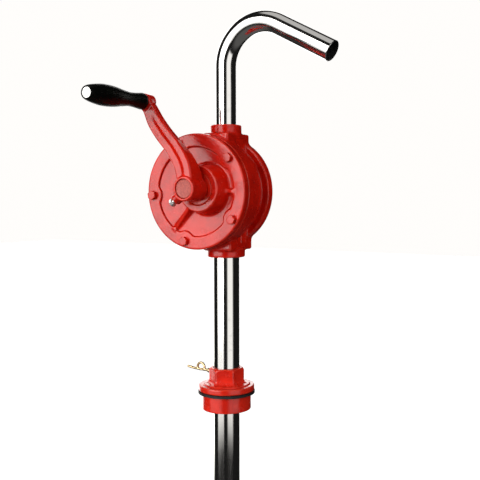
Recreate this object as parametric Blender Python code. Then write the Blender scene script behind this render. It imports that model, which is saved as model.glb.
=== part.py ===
"""Hand-cranked rotary drum pump.

World frame: the suction tube runs along Z, the drum's bung seat is the plane z = 0, the crank faces -Y
and the discharge spout points to +X. Every length below is in millimetres; place() turns it into metres.
"""

import math

import bmesh
import bpy
from mathutils import Matrix, Vector

MM = 0.001
GAP = 0.3          # clearance between touching pieces

# Tubes
SUCTION_R = 15.9
SUCTION_WALL = 1.8
SPOUT_R = 12.5
SPOUT_WALL = 1.5
SECTION_LENGTH = 330.0
SECTION_GAP = 4.0
SOCKET_R = 19.0
SOCKET_LENGTH = 36.0

# Spout: a riser, one bend and a straight nose
BEND_RADIUS = 48.7
BEND_START_Z = 390.5
BEND_DEG = 118.0
NOSE_LENGTH = 76.5

# Casting: the round chamber sits off to the left of the shaft
SHAFT_Z = 245.0
DISC_X = -16.3
DISC_Z = 241.8
CHAMBER_R = 52.3
FLANGE_R = 68.1
REAR_R = 66.5
WAIST_R = 57.3
COVER_FRONT = -43.5
COVER_BACK = -34.6
BODY_FRONT = -33.2
FLANGE_BACK = -9.5
REAR_DISC_FRONT = 15.2
CHAMBER_BACK = 13.0
BODY_BACK = 27.0
BOLT_CIRCLE_R = 60.3
BOLT_COUNT = 5
BOLT_PHASE_DEG = 40.0
BOLT_R = 3.0
BOLT_LENGTH = 18.0
BOLT_HEAD_AF = 10.0
BOLT_HEAD_HEIGHT = 4.6

# Port blocks above and below the chamber, as (left, right, front, back)
TOP_BLOCK = (-16.0, 18.2, -26.0, 25.0)
LOW_BLOCK = (-18.2, 20.2, -23.0, 28.0)
BLOCK_TOP = 311.2
BLOCK_BOTTOM = 171.5
BLOCK_CORNER = 3.0
BLOCK_RIB_Y = (-9.5, 1.5, 12.0)
BLOCK_RIB_HALF = 0.9
BLOCK_RIB_HEIGHT = 1.0
TOP_COLLAR_R = 18.8
TOP_COLLAR_Z = 321.5
LOW_COLLAR_R = 23.0
LOW_COLLAR_Z = 163.2
SOCKET_DEPTH = 24.4
PORT_R = 10.0

# Cover face: recessed panel, ribs and bearing boss
PANEL_R = 52.7
PANEL_DEPTH = 2.5
REAR_BOSS_R = 20.0
PAD_R = 12.2
RIB_ANGLES_DEG = (0.0, 120.0, 236.5)
RIB_WIDTH = 6.0
BOSS_BASE_R = 30.2
BOSS_FACE_R = 26.5
BOSS_FACE = -61.5
GLAND_R = 18.2
GLAND_FRONT = -61.2
GLAND_BACK = -57.5
PACKING_R = 15.5
PACKING_BACK = -47.0
BUSH_R = 14.0

# Rotor, its shaft and its two vanes
SHAFT_R = 10.7
SHAFT_END = -89.3
ROTOR_R = 35.5
DISC_THICK = 3.0
SLOT_WIDTH = 6.6
VANE_THICK = 6.0
VANE_LENGTH = 33.5
VANE_BORE_R = 2.5
SPRING_R = 1.8
SPRING_WIRE_R = 0.45
SPRING_TURNS = 7
SPRING_HALF = 11.0
SPRING_Y = (-22.0, 1.0)

# Crank
HUB_R = 13.9
HUB_FRONT = -90.5
HUB_BACK = -62.0
ARM_FRONT = -88.6
ARM_BACK = -77.6
ARM_PATH = (
    (0.0, 0.0), (-3.2, 24.0), (-15.0, 44.5), (-30.4, 61.6), (-41.0, 75.5), (-47.7, 88.0), (-54.4, 99.0),
)
ARM_HALF_WIDTHS = (10.5, 10.6, 10.2, 10.0, 9.6, 8.4, 7.4)
# The arm is as deep as the hub at its root and thins over the first third of its length.
ARM_ROOT_BACK = -63.5
ARM_ROOT_FROM, ARM_ROOT_TO = 0.08, 0.34
GROOVE_FROM = 0.14
GROOVE_TO = 0.78
GROOVE_DEPTH = 1.4
ARM_BOSS_R = 9.2
SCREW_ANGLE_DEG = 215.6
SCREW_Y = -79.5
SCREW_BOSS_R = 6.4
SCREW_BOSS_REACH = 21.6
SCREW_SEAT_REACH = 24.8
SCREW_HEAD_AF = 8.4

# Handle
HANDLE_X = -54.4
HANDLE_Z = SHAFT_Z + 99.0
GRIP_START = -91.2
GRIP_END = -184.8
RECESS_R = 6.3
RECESS_DEPTH = 0.6
SPINDLE_R = 4.0
SPINDLE_HEAD_R = 6.0
SPINDLE_HEAD_HEIGHT = 2.6
GRIP_PROFILE = (
    (0.0, 8.8), (0.03, 9.4), (0.1, 8.7), (0.18, 8.0), (0.27, 7.9), (0.385, 9.1), (0.517, 10.8), (0.633, 11.6),
    (0.75, 11.5), (0.872, 10.1), (0.95, 8.6), (0.985, 7.6), (1.0, 6.8),
)

# Bung adapter
HEX_AF = 38.0
HEX_PHASE_DEG = 23.7
HEX_TOP = 28.0
HEX_BOTTOM = 11.0
FLANGE_TOP = 7.2
ADAPTER_FLANGE_R = 34.0
SPIGOT_R = 29.8
SPIGOT_BOTTOM = -23.0
GASKET_THICK = 3.0
CLAMP_ANGLE_DEG = HEX_PHASE_DEG + 150.0
CLAMP_Z = 20.0

ROUND = 60
MEDIUM = 36
SMALL = 16


def clear_scene():
    for obj in list(bpy.data.objects):
        bpy.data.objects.remove(obj, do_unlink=True)


def material(name, colour, roughness, metallic=0.0):
    made = bpy.data.materials.new(name)
    made.use_nodes = True
    shader = made.node_tree.nodes["Principled BSDF"]
    shader.inputs["Base Color"].default_value = (*colour, 1.0)
    shader.inputs["Roughness"].default_value = roughness
    shader.inputs["Metallic"].default_value = metallic
    return made


# ---------------------------------------------------------------- mesh tools

def from_rings(rings, closed_path=False):
    """A closed skin over rings of points. A ring of one point is a pole."""
    shape = bmesh.new()
    made = [[shape.verts.new(point) for point in ring] for ring in rings]
    pairs = list(zip(made, made[1:]))
    if closed_path:
        pairs.append((made[-1], made[0]))
    for low, high in pairs:
        count = max(len(low), len(high))
        for k in range(count):
            after = k + 1
            corners = [low[k % len(low)], low[after % len(low)], high[after % len(high)], high[k % len(high)]]
            unique = list(dict.fromkeys(corners))
            if len(unique) > 2:
                shape.faces.new(unique)
    if not closed_path:
        for ring in (made[0], made[-1]):
            if len(ring) > 2:
                shape.faces.new(ring)
    bmesh.ops.recalc_face_normals(shape, faces=shape.faces)
    return shape


def axis_frame(axis):
    """Two directions square to an axis, and the axis itself."""
    along = Vector(axis).normalized()
    side = Vector((1, 0, 0)) if abs(along.x) < 0.9 else Vector((0, 0, 1))
    across = (side - along * side.dot(along)).normalized()
    return across, along.cross(across), along


def turned(profile, centre, axis=(0, 0, 1), steps=ROUND, phase_deg=0.0, closed=False):
    """A turned solid. The profile lists (radius, distance along the axis); closed profiles make a ring."""
    across, up, along = axis_frame(axis)
    middle = Vector(centre)
    rings = []
    for radius, height in profile:
        if radius == 0:
            rings.append([middle + along * height])
            continue
        ring = []
        for k in range(steps):
            turn = math.radians(phase_deg) + 2 * math.pi * k / steps
            spoke = across * math.cos(turn) + up * math.sin(turn)
            ring.append(middle + along * height + spoke * radius)
        rings.append(ring)
    return from_rings(rings, closed_path=closed)


def rod(radius, start, end, steps=SMALL, phase_deg=0.0):
    """A plain round bar between two points."""
    start, end = Vector(start), Vector(end)
    length = (end - start).length
    return turned([(radius, 0), (radius, length)], start, end - start, steps, phase_deg)


def ring(inner, outer, centre, axis, length, steps=MEDIUM):
    """A round sleeve from the centre point along the axis."""
    profile = [(inner, 0), (outer, 0), (outer, length), (inner, length)]
    return turned(profile, centre, axis, steps, closed=True)


def prism(outline, start, end, axis="Y"):
    """An outline extruded along Y, given in (x, z), or along Z, given in (x, y)."""
    rings = []
    for level in (start, end):
        if axis == "Y":
            rings.append([Vector((a, level, b)) for a, b in outline])
        else:
            rings.append([Vector((a, b, level)) for a, b in outline])
    return from_rings(rings)


def swept(path, radius, steps, inner=None):
    """A round bar, or a tube with an inner radius, along a path."""
    points = [Vector(p) for p in path]
    normal = axis_frame(points[1] - points[0])[0]
    frames = []
    for k, point in enumerate(points):
        ahead = points[min(k + 1, len(points) - 1)] - points[max(k - 1, 0)]
        along = ahead.normalized()
        normal = (normal - along * normal.dot(along)).normalized()
        frames.append((point, normal.copy(), along.cross(normal)))

    def circle(frame, size):
        point, across, up = frame
        turns = [2 * math.pi * k / steps for k in range(steps)]
        return [point + (across * math.cos(t) + up * math.sin(t)) * size for t in turns]

    outside = [circle(frame, radius) for frame in frames]
    if inner is None:
        return from_rings(outside)
    inside = [circle(frame, inner) for frame in reversed(frames)]
    return from_rings(outside + inside, closed_path=True)


def combine(base, tool, operation):
    """A Boolean of two solids. Both are used up."""
    made = []
    for shape in (base, tool):
        mesh = bpy.data.meshes.new("work")
        shape.to_mesh(mesh)
        shape.free()
        obj = bpy.data.objects.new("work", mesh)
        bpy.context.scene.collection.objects.link(obj)
        made.append(obj)
    modifier = made[0].modifiers.new("combine", "BOOLEAN")
    modifier.operation = operation
    modifier.solver = "EXACT"
    modifier.object = made[1]
    result = bmesh.new()
    result.from_object(made[0], bpy.context.evaluated_depsgraph_get())
    for obj in made:
        mesh = obj.data
        bpy.data.objects.remove(obj, do_unlink=True)
        bpy.data.meshes.remove(mesh)
    bmesh.ops.dissolve_degenerate(result, edges=result.edges, dist=0.001)
    return result


def join(base, *tools):
    for tool in tools:
        base = combine(base, tool, "UNION")
    return base


def cut(base, *tools):
    for tool in tools:
        base = combine(base, tool, "DIFFERENCE")
    return base


def place(name, shape, origin, finish):
    """Makes the object, with its origin at a point given in millimetres."""
    anchor = Vector(origin)
    bmesh.ops.transform(shape, matrix=Matrix.Scale(MM, 4) @ Matrix.Translation(-anchor), verts=shape.verts)
    mesh = bpy.data.meshes.new(name)
    shape.to_mesh(mesh)
    shape.free()
    mesh.shade_smooth()
    mesh.set_sharp_from_angle(angle=math.radians(35))
    mesh.materials.append(finish)
    obj = bpy.data.objects.new(name, mesh)
    obj.location = anchor * MM
    bpy.context.scene.collection.objects.link(obj)
    return obj


def polar(radius, degrees):
    return radius * math.cos(math.radians(degrees)), radius * math.sin(math.radians(degrees))


def rounded_rectangle(low_a, high_a, low_b, high_b, radius, steps=5):
    """An outline with round corners, anticlockwise."""
    points = []
    corners = ((high_a, high_b, 0), (low_a, high_b, 90), (low_a, low_b, 180), (high_a, low_b, 270))
    for a, b, start in corners:
        centre_a = a - math.copysign(radius, a - (low_a + high_a) / 2)
        centre_b = b - math.copysign(radius, b - (low_b + high_b) / 2)
        for k in range(steps + 1):
            da, db = polar(radius, start + 90 * k / steps)
            points.append((centre_a + da, centre_b + db))
    return points


def smooth_path(points, steps=5):
    """A Catmull-Rom curve through points of any dimension."""
    vectors = [Vector(p) for p in points]
    padded = [vectors[0] * 2 - vectors[1]] + vectors + [vectors[-1] * 2 - vectors[-2]]
    curve = []
    for a, b, c, d in zip(padded, padded[1:], padded[2:], padded[3:]):
        for k in range(steps):
            t = k / steps
            curve.append(
                0.5 * (2 * b + (c - a) * t + (2 * a - 5 * b + 4 * c - d) * t * t
                       + (3 * b - a - 3 * c + d) * t ** 3)
            )
    curve.append(vectors[-1])
    return curve


# ---------------------------------------------------------------- places

def bolt_centres():
    for k in range(BOLT_COUNT):
        x, z = polar(BOLT_CIRCLE_R, BOLT_PHASE_DEG + 360 * k / BOLT_COUNT)
        yield DISC_X + x, DISC_Z + z


def section_top(index):
    """Top end of each suction tube section, from the top section down."""
    top = LOW_COLLAR_Z + SOCKET_DEPTH - 1.0
    return top - index * (SECTION_LENGTH + SECTION_GAP)


def panel_outline(steps=90):
    """The cover's recessed panel: a circle with a bay around each bolt pad."""
    outline = []
    for k in range(steps):
        heading = 2 * math.pi * k / steps
        reach = PANEL_R
        for x, z in bolt_centres():
            along = (x - DISC_X) * math.cos(heading) + (z - DISC_Z) * math.sin(heading)
            square = PAD_R ** 2 - (BOLT_CIRCLE_R ** 2 - along ** 2)
            if along > 0 and square > 0:
                reach = min(reach, along - math.sqrt(square))
        outline.append((DISC_X + reach * math.cos(heading), DISC_Z + reach * math.sin(heading)))
    return outline


# ---------------------------------------------------------------- castings

def port_block(box, outer_z, inner_z):
    """A round-cornered block from inside the chamber casting out to a bevelled end face."""
    left, right, front, back = box
    block = rounded_rectangle(left, right, front, back, BLOCK_CORNER, 3)
    inset = rounded_rectangle(
        left + BLOCK_CORNER, right - BLOCK_CORNER, front + BLOCK_CORNER, back - BLOCK_CORNER, 0.5, 3
    )
    shoulder = outer_z + math.copysign(BLOCK_CORNER, inner_z - outer_z)
    levels = ((inset, outer_z), (block, shoulder), (block, inner_z))
    return from_rings([[Vector((a, b, level)) for a, b in outline] for outline, level in levels])


def pump_body():
    disc = (DISC_X, 0, DISC_Z)
    shape = turned(
        [
            (0, BODY_FRONT), (FLANGE_R, BODY_FRONT),
            (FLANGE_R, FLANGE_BACK - 2.0), (FLANGE_R - 2.0, FLANGE_BACK),
            (WAIST_R, FLANGE_BACK), (WAIST_R, REAR_DISC_FRONT),
            (REAR_R - 1.5, REAR_DISC_FRONT), (REAR_R, REAR_DISC_FRONT + 1.5),
            (REAR_R, BODY_BACK - 1.8), (REAR_R - 1.8, BODY_BACK),
            (PANEL_R, BODY_BACK), (PANEL_R - 1.5, BODY_BACK - 2.0), (REAR_BOSS_R + 2.0, BODY_BACK - 2.0),
            (REAR_BOSS_R, BODY_BACK + 2.0), (0, BODY_BACK + 2.0),
        ],
        disc, (0, 1, 0),
    )
    shape = join(
        shape,
        port_block(TOP_BLOCK, BLOCK_TOP, DISC_Z),
        port_block(LOW_BLOCK, BLOCK_BOTTOM, DISC_Z + 2.0),
        turned(
            [(0, BLOCK_TOP - 6), (TOP_COLLAR_R, BLOCK_TOP - 6), (TOP_COLLAR_R, TOP_COLLAR_Z - 2.0),
             (TOP_COLLAR_R - 0.7, TOP_COLLAR_Z - 0.6), (TOP_COLLAR_R - 2.2, TOP_COLLAR_Z), (0, TOP_COLLAR_Z)],
            (0, 0, 0), steps=MEDIUM,
        ),
        turned(
            [(0, LOW_COLLAR_Z), (LOW_COLLAR_R - 1.2, LOW_COLLAR_Z), (LOW_COLLAR_R, LOW_COLLAR_Z + 1.2),
             (LOW_COLLAR_R, BLOCK_BOTTOM - 2.0), (LOW_COLLAR_R - 1.5, BLOCK_BOTTOM + 4),
             (0, BLOCK_BOTTOM + 4)],
            (0, 0, 0), steps=MEDIUM,
        ),
    )
    side = LOW_BLOCK[1]
    for y in BLOCK_RIB_Y:
        rib = rounded_rectangle(
            side - 2, side + BLOCK_RIB_HEIGHT, y - BLOCK_RIB_HALF, y + BLOCK_RIB_HALF, 0.6, 1
        )
        shape = join(shape, prism(rib, BLOCK_BOTTOM + 7.5, BLOCK_BOTTOM + 22, axis="Z"))
    shape = cut(
        shape,
        rod(CHAMBER_R, (DISC_X, BODY_FRONT - 5, DISC_Z), (DISC_X, CHAMBER_BACK, DISC_Z), ROUND),
        rod(PORT_R, (0, 0, LOW_COLLAR_Z - 5), (0, 0, TOP_COLLAR_Z + 5), 24),
        rod(SUCTION_R + GAP, (0, 0, LOW_COLLAR_Z - 5), (0, 0, LOW_COLLAR_Z + SOCKET_DEPTH), MEDIUM),
        rod(SPOUT_R + GAP, (0, 0, TOP_COLLAR_Z - SOCKET_DEPTH), (0, 0, TOP_COLLAR_Z + 5), MEDIUM),
    )
    for x, z in bolt_centres():
        shape = cut(shape, rod(BOLT_R + GAP, (x, BODY_FRONT - 3, z), (x, BODY_FRONT + 12, z), 12))
    return shape


def cover_rib(degrees):
    """A wedge from the bearing boss down to the rim of the panel."""
    end_x, end_z = polar(PANEL_R + 1.0, degrees)
    end = Vector((DISC_X + end_x, 0, DISC_Z + end_z))
    hub = Vector((0, 0, SHAFT_Z))
    along = (end - hub).normalized()
    side = along.cross(Vector((0, 1, 0))) * (RIB_WIDTH / 2)
    start = hub + along * (BOSS_FACE_R - 6)
    rings = []
    floor = COVER_FRONT + PANEL_DEPTH + 1.5
    for point, crest in ((start, COVER_FRONT - 9.0), (end, COVER_FRONT - 0.2)):
        rings.append([
            point - side + Vector((0, floor, 0)), point + side + Vector((0, floor, 0)),
            point + side * 0.75 + Vector((0, crest, 0)), point - side * 0.75 + Vector((0, crest, 0)),
        ])
    return from_rings(rings)


def front_cover():
    shape = turned(
        [(0, COVER_BACK), (FLANGE_R, COVER_BACK), (FLANGE_R, COVER_FRONT + 2.0),
         (FLANGE_R - 2.0, COVER_FRONT), (0, COVER_FRONT)],
        (DISC_X, 0, DISC_Z), (0, 1, 0),
    )
    shape = cut(shape, prism(panel_outline(), COVER_FRONT - 4, COVER_FRONT + PANEL_DEPTH))
    boss = turned(
        [(0, COVER_BACK - 2), (BOSS_BASE_R, COVER_BACK - 2), (BOSS_BASE_R, COVER_FRONT + PANEL_DEPTH),
         (BOSS_FACE_R + 0.6, BOSS_FACE + 1.6), (BOSS_FACE_R - 1.2, BOSS_FACE), (0, BOSS_FACE)],
        (0, 0, SHAFT_Z), (0, 1, 0),
    )
    shape = join(shape, boss, *[cover_rib(angle) for angle in RIB_ANGLES_DEG])
    def on_shaft(y):
        return (0, y, SHAFT_Z)

    shape = cut(
        shape,
        rod(GLAND_R + GAP, on_shaft(BOSS_FACE - 5), on_shaft(GLAND_BACK + 0.3), MEDIUM),
        rod(PACKING_R + GAP, on_shaft(BOSS_FACE - 5), on_shaft(PACKING_BACK + 0.3), MEDIUM),
        rod(BUSH_R + GAP, on_shaft(BOSS_FACE - 5), on_shaft(COVER_BACK + 5), MEDIUM),
        rod(ROTOR_R + 0.4, on_shaft(COVER_BACK - DISC_THICK - 0.3), on_shaft(COVER_BACK + 5), ROUND),
    )
    for x, z in bolt_centres():
        shape = cut(shape, rod(BOLT_R + GAP, (x, COVER_FRONT - 4, z), (x, COVER_BACK + 4, z), 12))
    return shape


def cover_gasket():
    start, end = COVER_BACK + GAP, BODY_FRONT - GAP
    shape = ring(CHAMBER_R + 0.5, FLANGE_R - 0.4, (DISC_X, start, DISC_Z), (0, 1, 0), end - start, ROUND)
    for x, z in bolt_centres():
        shape = cut(shape, rod(BOLT_R + GAP, (x, start - 2, z), (x, end + 2, z), 12))
    return shape


def cover_bolt(x, z):
    """A hexagon-head bolt through the cover into the body."""
    seat = COVER_FRONT - GAP
    across = BOLT_HEAD_AF / math.sqrt(3)
    head = turned(
        [(0, 0), (across, 0), (across, BOLT_HEAD_HEIGHT - 1.2), (across - 1.6, BOLT_HEAD_HEIGHT),
         (0, BOLT_HEAD_HEIGHT)],
        (x, seat, z), (0, -1, 0), 6, 12.0,
    )
    shank = rod(BOLT_R, (x, seat - 1, z), (x, seat + BOLT_LENGTH, z), 12)
    return join(head, shank)


# ---------------------------------------------------------------- rotating parts

def rotor_shaft():
    """The rotor and its shaft, in one piece: a slotted drum on a disc, open at the rear."""
    back = CHAMBER_BACK - 0.4
    front = COVER_BACK - DISC_THICK
    shape = turned(
        [(0, SHAFT_END), (SHAFT_R - 0.8, SHAFT_END), (SHAFT_R, SHAFT_END + 0.8), (SHAFT_R, front),
         (ROTOR_R, front), (ROTOR_R, back), (0, back)],
        (0, 0, SHAFT_Z), (0, 1, 0), ROUND,
    )
    half = SLOT_WIDTH / 2
    slot = [(-half, SHAFT_Z - ROTOR_R - 5), (half, SHAFT_Z - ROTOR_R - 5),
            (half, SHAFT_Z + ROTOR_R + 5), (-half, SHAFT_Z + ROTOR_R + 5)]
    shape = cut(shape, prism(slot, COVER_BACK + 0.1, back + 5))
    turn = math.radians(SCREW_ANGLE_DEG)
    toward = Vector((math.cos(turn), 0, math.sin(turn)))
    centre = Vector((0, SCREW_Y, SHAFT_Z))
    return cut(shape, rod(3.4, centre + toward * (SHAFT_R - 2.0), centre + toward * (SHAFT_R + 4), 12))


def vane(side):
    """A flat blade in the rotor's slot, with two blind bores for the springs."""
    outer = SHAFT_Z + side * (ROTOR_R - 0.2)
    inner = outer - side * VANE_LENGTH
    low, high = sorted((inner, outer))
    outline = rounded_rectangle(-VANE_THICK / 2, VANE_THICK / 2, low, high, 0.4, 1)
    shape = prism(outline, COVER_BACK + 0.4, CHAMBER_BACK - 0.4)
    for y in SPRING_Y:
        shape = cut(shape, rod(VANE_BORE_R, (0, y, inner - side * 2), (0, y, inner + side * SPRING_HALF), 12))
    return shape


def vane_spring(y):
    """A coil spring that pushes the two vanes apart."""
    turns = SPRING_TURNS
    half = SPRING_HALF + 0.6
    points = []
    for k in range(turns * 8 + 1):
        share = k / (turns * 8)
        heading = 2 * math.pi * turns * share
        points.append((
            SPRING_R * math.cos(heading), y + SPRING_R * math.sin(heading), SHAFT_Z - half + 2 * half * share
        ))
    return swept(points, SPRING_WIRE_R, 5)


def crank_arm():
    profile = [(*point, width) for point, width in zip(ARM_PATH, ARM_HALF_WIDTHS)]
    curve = smooth_path(profile, 3)
    sections = []
    groove_left, groove_right = [], []
    for k, point in enumerate(curve):
        ahead = curve[min(k + 1, len(curve) - 1)] - curve[max(k - 1, 0)]
        heading = Vector((ahead.x, ahead.y)).normalized()
        square = Vector((-heading.y, heading.x))
        middle = Vector((point.x, point.y + SHAFT_Z))
        share = k / (len(curve) - 1)
        thinned = min(max((share - ARM_ROOT_FROM) / (ARM_ROOT_TO - ARM_ROOT_FROM), 0), 1)
        back = ARM_ROOT_BACK + (ARM_BACK - ARM_ROOT_BACK) * thinned
        left = middle + square * point.z
        right = middle - square * point.z
        sections.append([
            (left.x, ARM_FRONT, left.y), (left.x, back, left.y),
            (right.x, back, right.y), (right.x, ARM_FRONT, right.y),
        ])
        if GROOVE_FROM < share < GROOVE_TO:
            taper = (share - GROOVE_FROM) / (GROOVE_TO - GROOVE_FROM)
            groove_left.append(middle + square * point.z * (0.35 - 0.45 * taper))
            groove_right.append(middle - square * point.z * (0.28 + 0.1 * taper))
    shape = from_rings(sections)
    turn = math.radians(SCREW_ANGLE_DEG)
    toward = Vector((math.cos(turn), 0, math.sin(turn)))
    centre = Vector((0, SCREW_Y, SHAFT_Z))
    hub = turned(
        [(0, HUB_FRONT), (HUB_R - 1.2, HUB_FRONT), (HUB_R, HUB_FRONT + 1.2), (HUB_R, HUB_BACK - 0.8),
         (HUB_R - 0.8, HUB_BACK), (0, HUB_BACK)],
        (0, 0, SHAFT_Z), (0, 1, 0), 48,
    )
    tip = turned(
        [(0, HUB_FRONT), (ARM_BOSS_R - 1, HUB_FRONT), (ARM_BOSS_R, HUB_FRONT + 1),
         (ARM_BOSS_R, ARM_BACK + 0.2),
         (ARM_BOSS_R - 1, ARM_BACK + 1.2), (0, ARM_BACK + 1.2)],
        (HANDLE_X, 0, HANDLE_Z), (0, 1, 0), 32,
    )
    shape = join(shape, hub, tip, rod(SCREW_BOSS_R, centre, centre + toward * SCREW_BOSS_REACH, 24))
    groove = [tuple(p) for p in groove_left + groove_right[::-1]]
    return cut(
        shape,
        prism(groove, ARM_FRONT - 3, ARM_FRONT + GROOVE_DEPTH),
        rod(SHAFT_R + GAP, (0, HUB_FRONT - 5, SHAFT_Z), (0, HUB_BACK + 5, SHAFT_Z), 48),
        rod(SPINDLE_R + GAP, (HANDLE_X, HUB_FRONT - 5, HANDLE_Z), (HANDLE_X, ARM_BACK + 5, HANDLE_Z), 24),
        rod(3.0 + GAP, centre + toward * 2, centre + toward * 30, 12),
    )


def crank_set_screw():
    turn = math.radians(SCREW_ANGLE_DEG)
    toward = Vector((math.cos(turn), 0, math.sin(turn)))
    centre = Vector((0, SCREW_Y, SHAFT_Z))
    radius = SCREW_HEAD_AF / math.sqrt(3)
    seat = centre + toward * SCREW_SEAT_REACH
    head = turned(
        [(0, 0), (radius, 0), (radius, 3.6), (radius - 1.2, 4.6), (0, 4.6)], seat, toward, 6, 15.0
    )
    return join(head, rod(3.0, centre + toward * (SHAFT_R - 1.6), seat + toward, 12))


def handle_grip():
    length = GRIP_END - GRIP_START
    outer = [(radius, GRIP_START + share * length) for share, radius in GRIP_PROFILE]
    bore = SPINDLE_R + 0.4
    seat = GRIP_END + RECESS_DEPTH + SPINDLE_HEAD_HEIGHT + GAP
    inside = [(RECESS_R, GRIP_END), (RECESS_R, seat), (bore, seat), (bore, GRIP_START)]
    return turned(outer + inside, (HANDLE_X, 0, HANDLE_Z), (0, 1, 0), 28, closed=True)


def handle_spindle():
    """A shoulder bolt through the grip: its head lies in the grip's recess, its end goes through the arm."""
    face = GRIP_END + RECESS_DEPTH
    under = face + SPINDLE_HEAD_HEIGHT
    profile = [
        (0, face), (SPINDLE_HEAD_R - 0.6, face), (SPINDLE_HEAD_R, face + 0.6), (SPINDLE_HEAD_R, under),
        (SPINDLE_R, under), (SPINDLE_R, ARM_BACK + 5.0), (SPINDLE_R - 0.8, ARM_BACK + 5.8),
        (0, ARM_BACK + 5.8),
    ]
    return turned(profile, (HANDLE_X, 0, HANDLE_Z), (0, 1, 0), 24)


def hexagon_nut(centre, axis, across_flats, height, bore, phase_deg=0.0):
    radius = across_flats / math.sqrt(3)
    shape = turned([(0, 0), (radius, 0), (radius, height - 1), (radius - 1.3, height), (0, height)],
                   centre, axis, 6, phase_deg)
    along = Vector(axis).normalized()
    return cut(shape, rod(bore, Vector(centre) - along * 3, Vector(centre) + along * (height + 3), 24))


# ---------------------------------------------------------------- tubes and adapter

def discharge_spout():
    foot = TOP_COLLAR_Z - SOCKET_DEPTH + 1.0
    path = [(0, 0, foot)]
    steps = 11
    for k in range(steps + 1):
        turn = math.radians(BEND_DEG * k / steps)
        path.append((
            BEND_RADIUS * (1 - math.cos(turn)), 0, BEND_START_Z + BEND_RADIUS * math.sin(turn)
        ))
    heading = math.radians(BEND_DEG)
    end = Vector(path[-1])
    nose = Vector((math.sin(heading), 0, math.cos(heading)))
    path.append(tuple(end + nose * NOSE_LENGTH))
    return swept(path, SPOUT_R, 26, SPOUT_R - SPOUT_WALL)


def suction_section(index):
    top = section_top(index)
    return ring(
        SUCTION_R - SUCTION_WALL, SUCTION_R, (0, 0, top - SECTION_LENGTH), (0, 0, 1), SECTION_LENGTH, MEDIUM
    )


def tube_socket(index):
    """A sleeve over the joint between two tube sections."""
    joint = section_top(index) + SECTION_GAP / 2
    return ring(
        SUCTION_R + GAP, SOCKET_R, (0, 0, joint - SOCKET_LENGTH / 2), (0, 0, 1), SOCKET_LENGTH, MEDIUM
    )


def bung_adapter():
    hexagon_r = HEX_AF / math.sqrt(3)
    shape = turned(
        [(0, SPIGOT_BOTTOM), (SPIGOT_R - 1.5, SPIGOT_BOTTOM), (SPIGOT_R, SPIGOT_BOTTOM + 1.5), (SPIGOT_R, 0),
         (ADAPTER_FLANGE_R, 0), (ADAPTER_FLANGE_R, FLANGE_TOP - 1.2), (ADAPTER_FLANGE_R - 1.2, FLANGE_TOP),
         (23.6, FLANGE_TOP), (23.6, HEX_BOTTOM - 1.0), (21.8, HEX_BOTTOM + 0.6), (0, HEX_BOTTOM + 0.6)],
        (0, 0, 0), (0, 0, 1), ROUND,
    )
    nut = turned([(0, FLANGE_TOP), (hexagon_r, FLANGE_TOP), (hexagon_r, HEX_TOP), (0, HEX_TOP)],
                 (0, 0, 0), (0, 0, 1), 6, HEX_PHASE_DEG)
    crown = turned([(0, FLANGE_TOP - 2), (hexagon_r - 0.7, FLANGE_TOP - 2), (hexagon_r - 0.7, HEX_TOP - 1.6),
                    (hexagon_r - 3.4, HEX_TOP), (0, HEX_TOP)], (0, 0, 0), (0, 0, 1), ROUND)
    shape = join(shape, combine(nut, crown, "INTERSECT"))
    along = Vector((*polar(1, CLAMP_ANGLE_DEG), 0))
    centre = Vector((0, 0, CLAMP_Z))
    return cut(
        shape,
        rod(SUCTION_R + 0.35, (0, 0, SPIGOT_BOTTOM - 5), (0, 0, HEX_TOP + 5), MEDIUM),
        rod(3.0 + GAP, centre + along * 10, centre + along * 30, 12),
    )


def clamp_screw():
    """A thumb screw bent from wire: threaded shank, a standing eye and a short tail."""
    along = Vector((*polar(1, CLAMP_ANGLE_DEG), 0))
    up = Vector((0, 0, 1))
    centre = Vector((0, 0, CLAMP_Z))
    shank = rod(3.0, centre + along * (SUCTION_R + 0.8), centre + along * 29.0, 12)
    eye = [centre + along * 27.0, centre + along * 33.0]
    loop_centre, loop_r = 40.5, 5.6
    for k in range(9):
        turn = math.radians(205 - 230 * k / 8)
        eye.append(centre + along * (loop_centre + loop_r * math.cos(turn))
                   + up * (loop_r * math.sin(turn) + 2.4))
    tail = [centre + along * 27.0, centre + along * 42.0 - up * 0.4, centre + along * 53.0]
    tail.append(centre + along * 62.0 + up)
    return join(shank, swept(tail, 1.6, 8), swept(eye, 1.5, 8))


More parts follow.
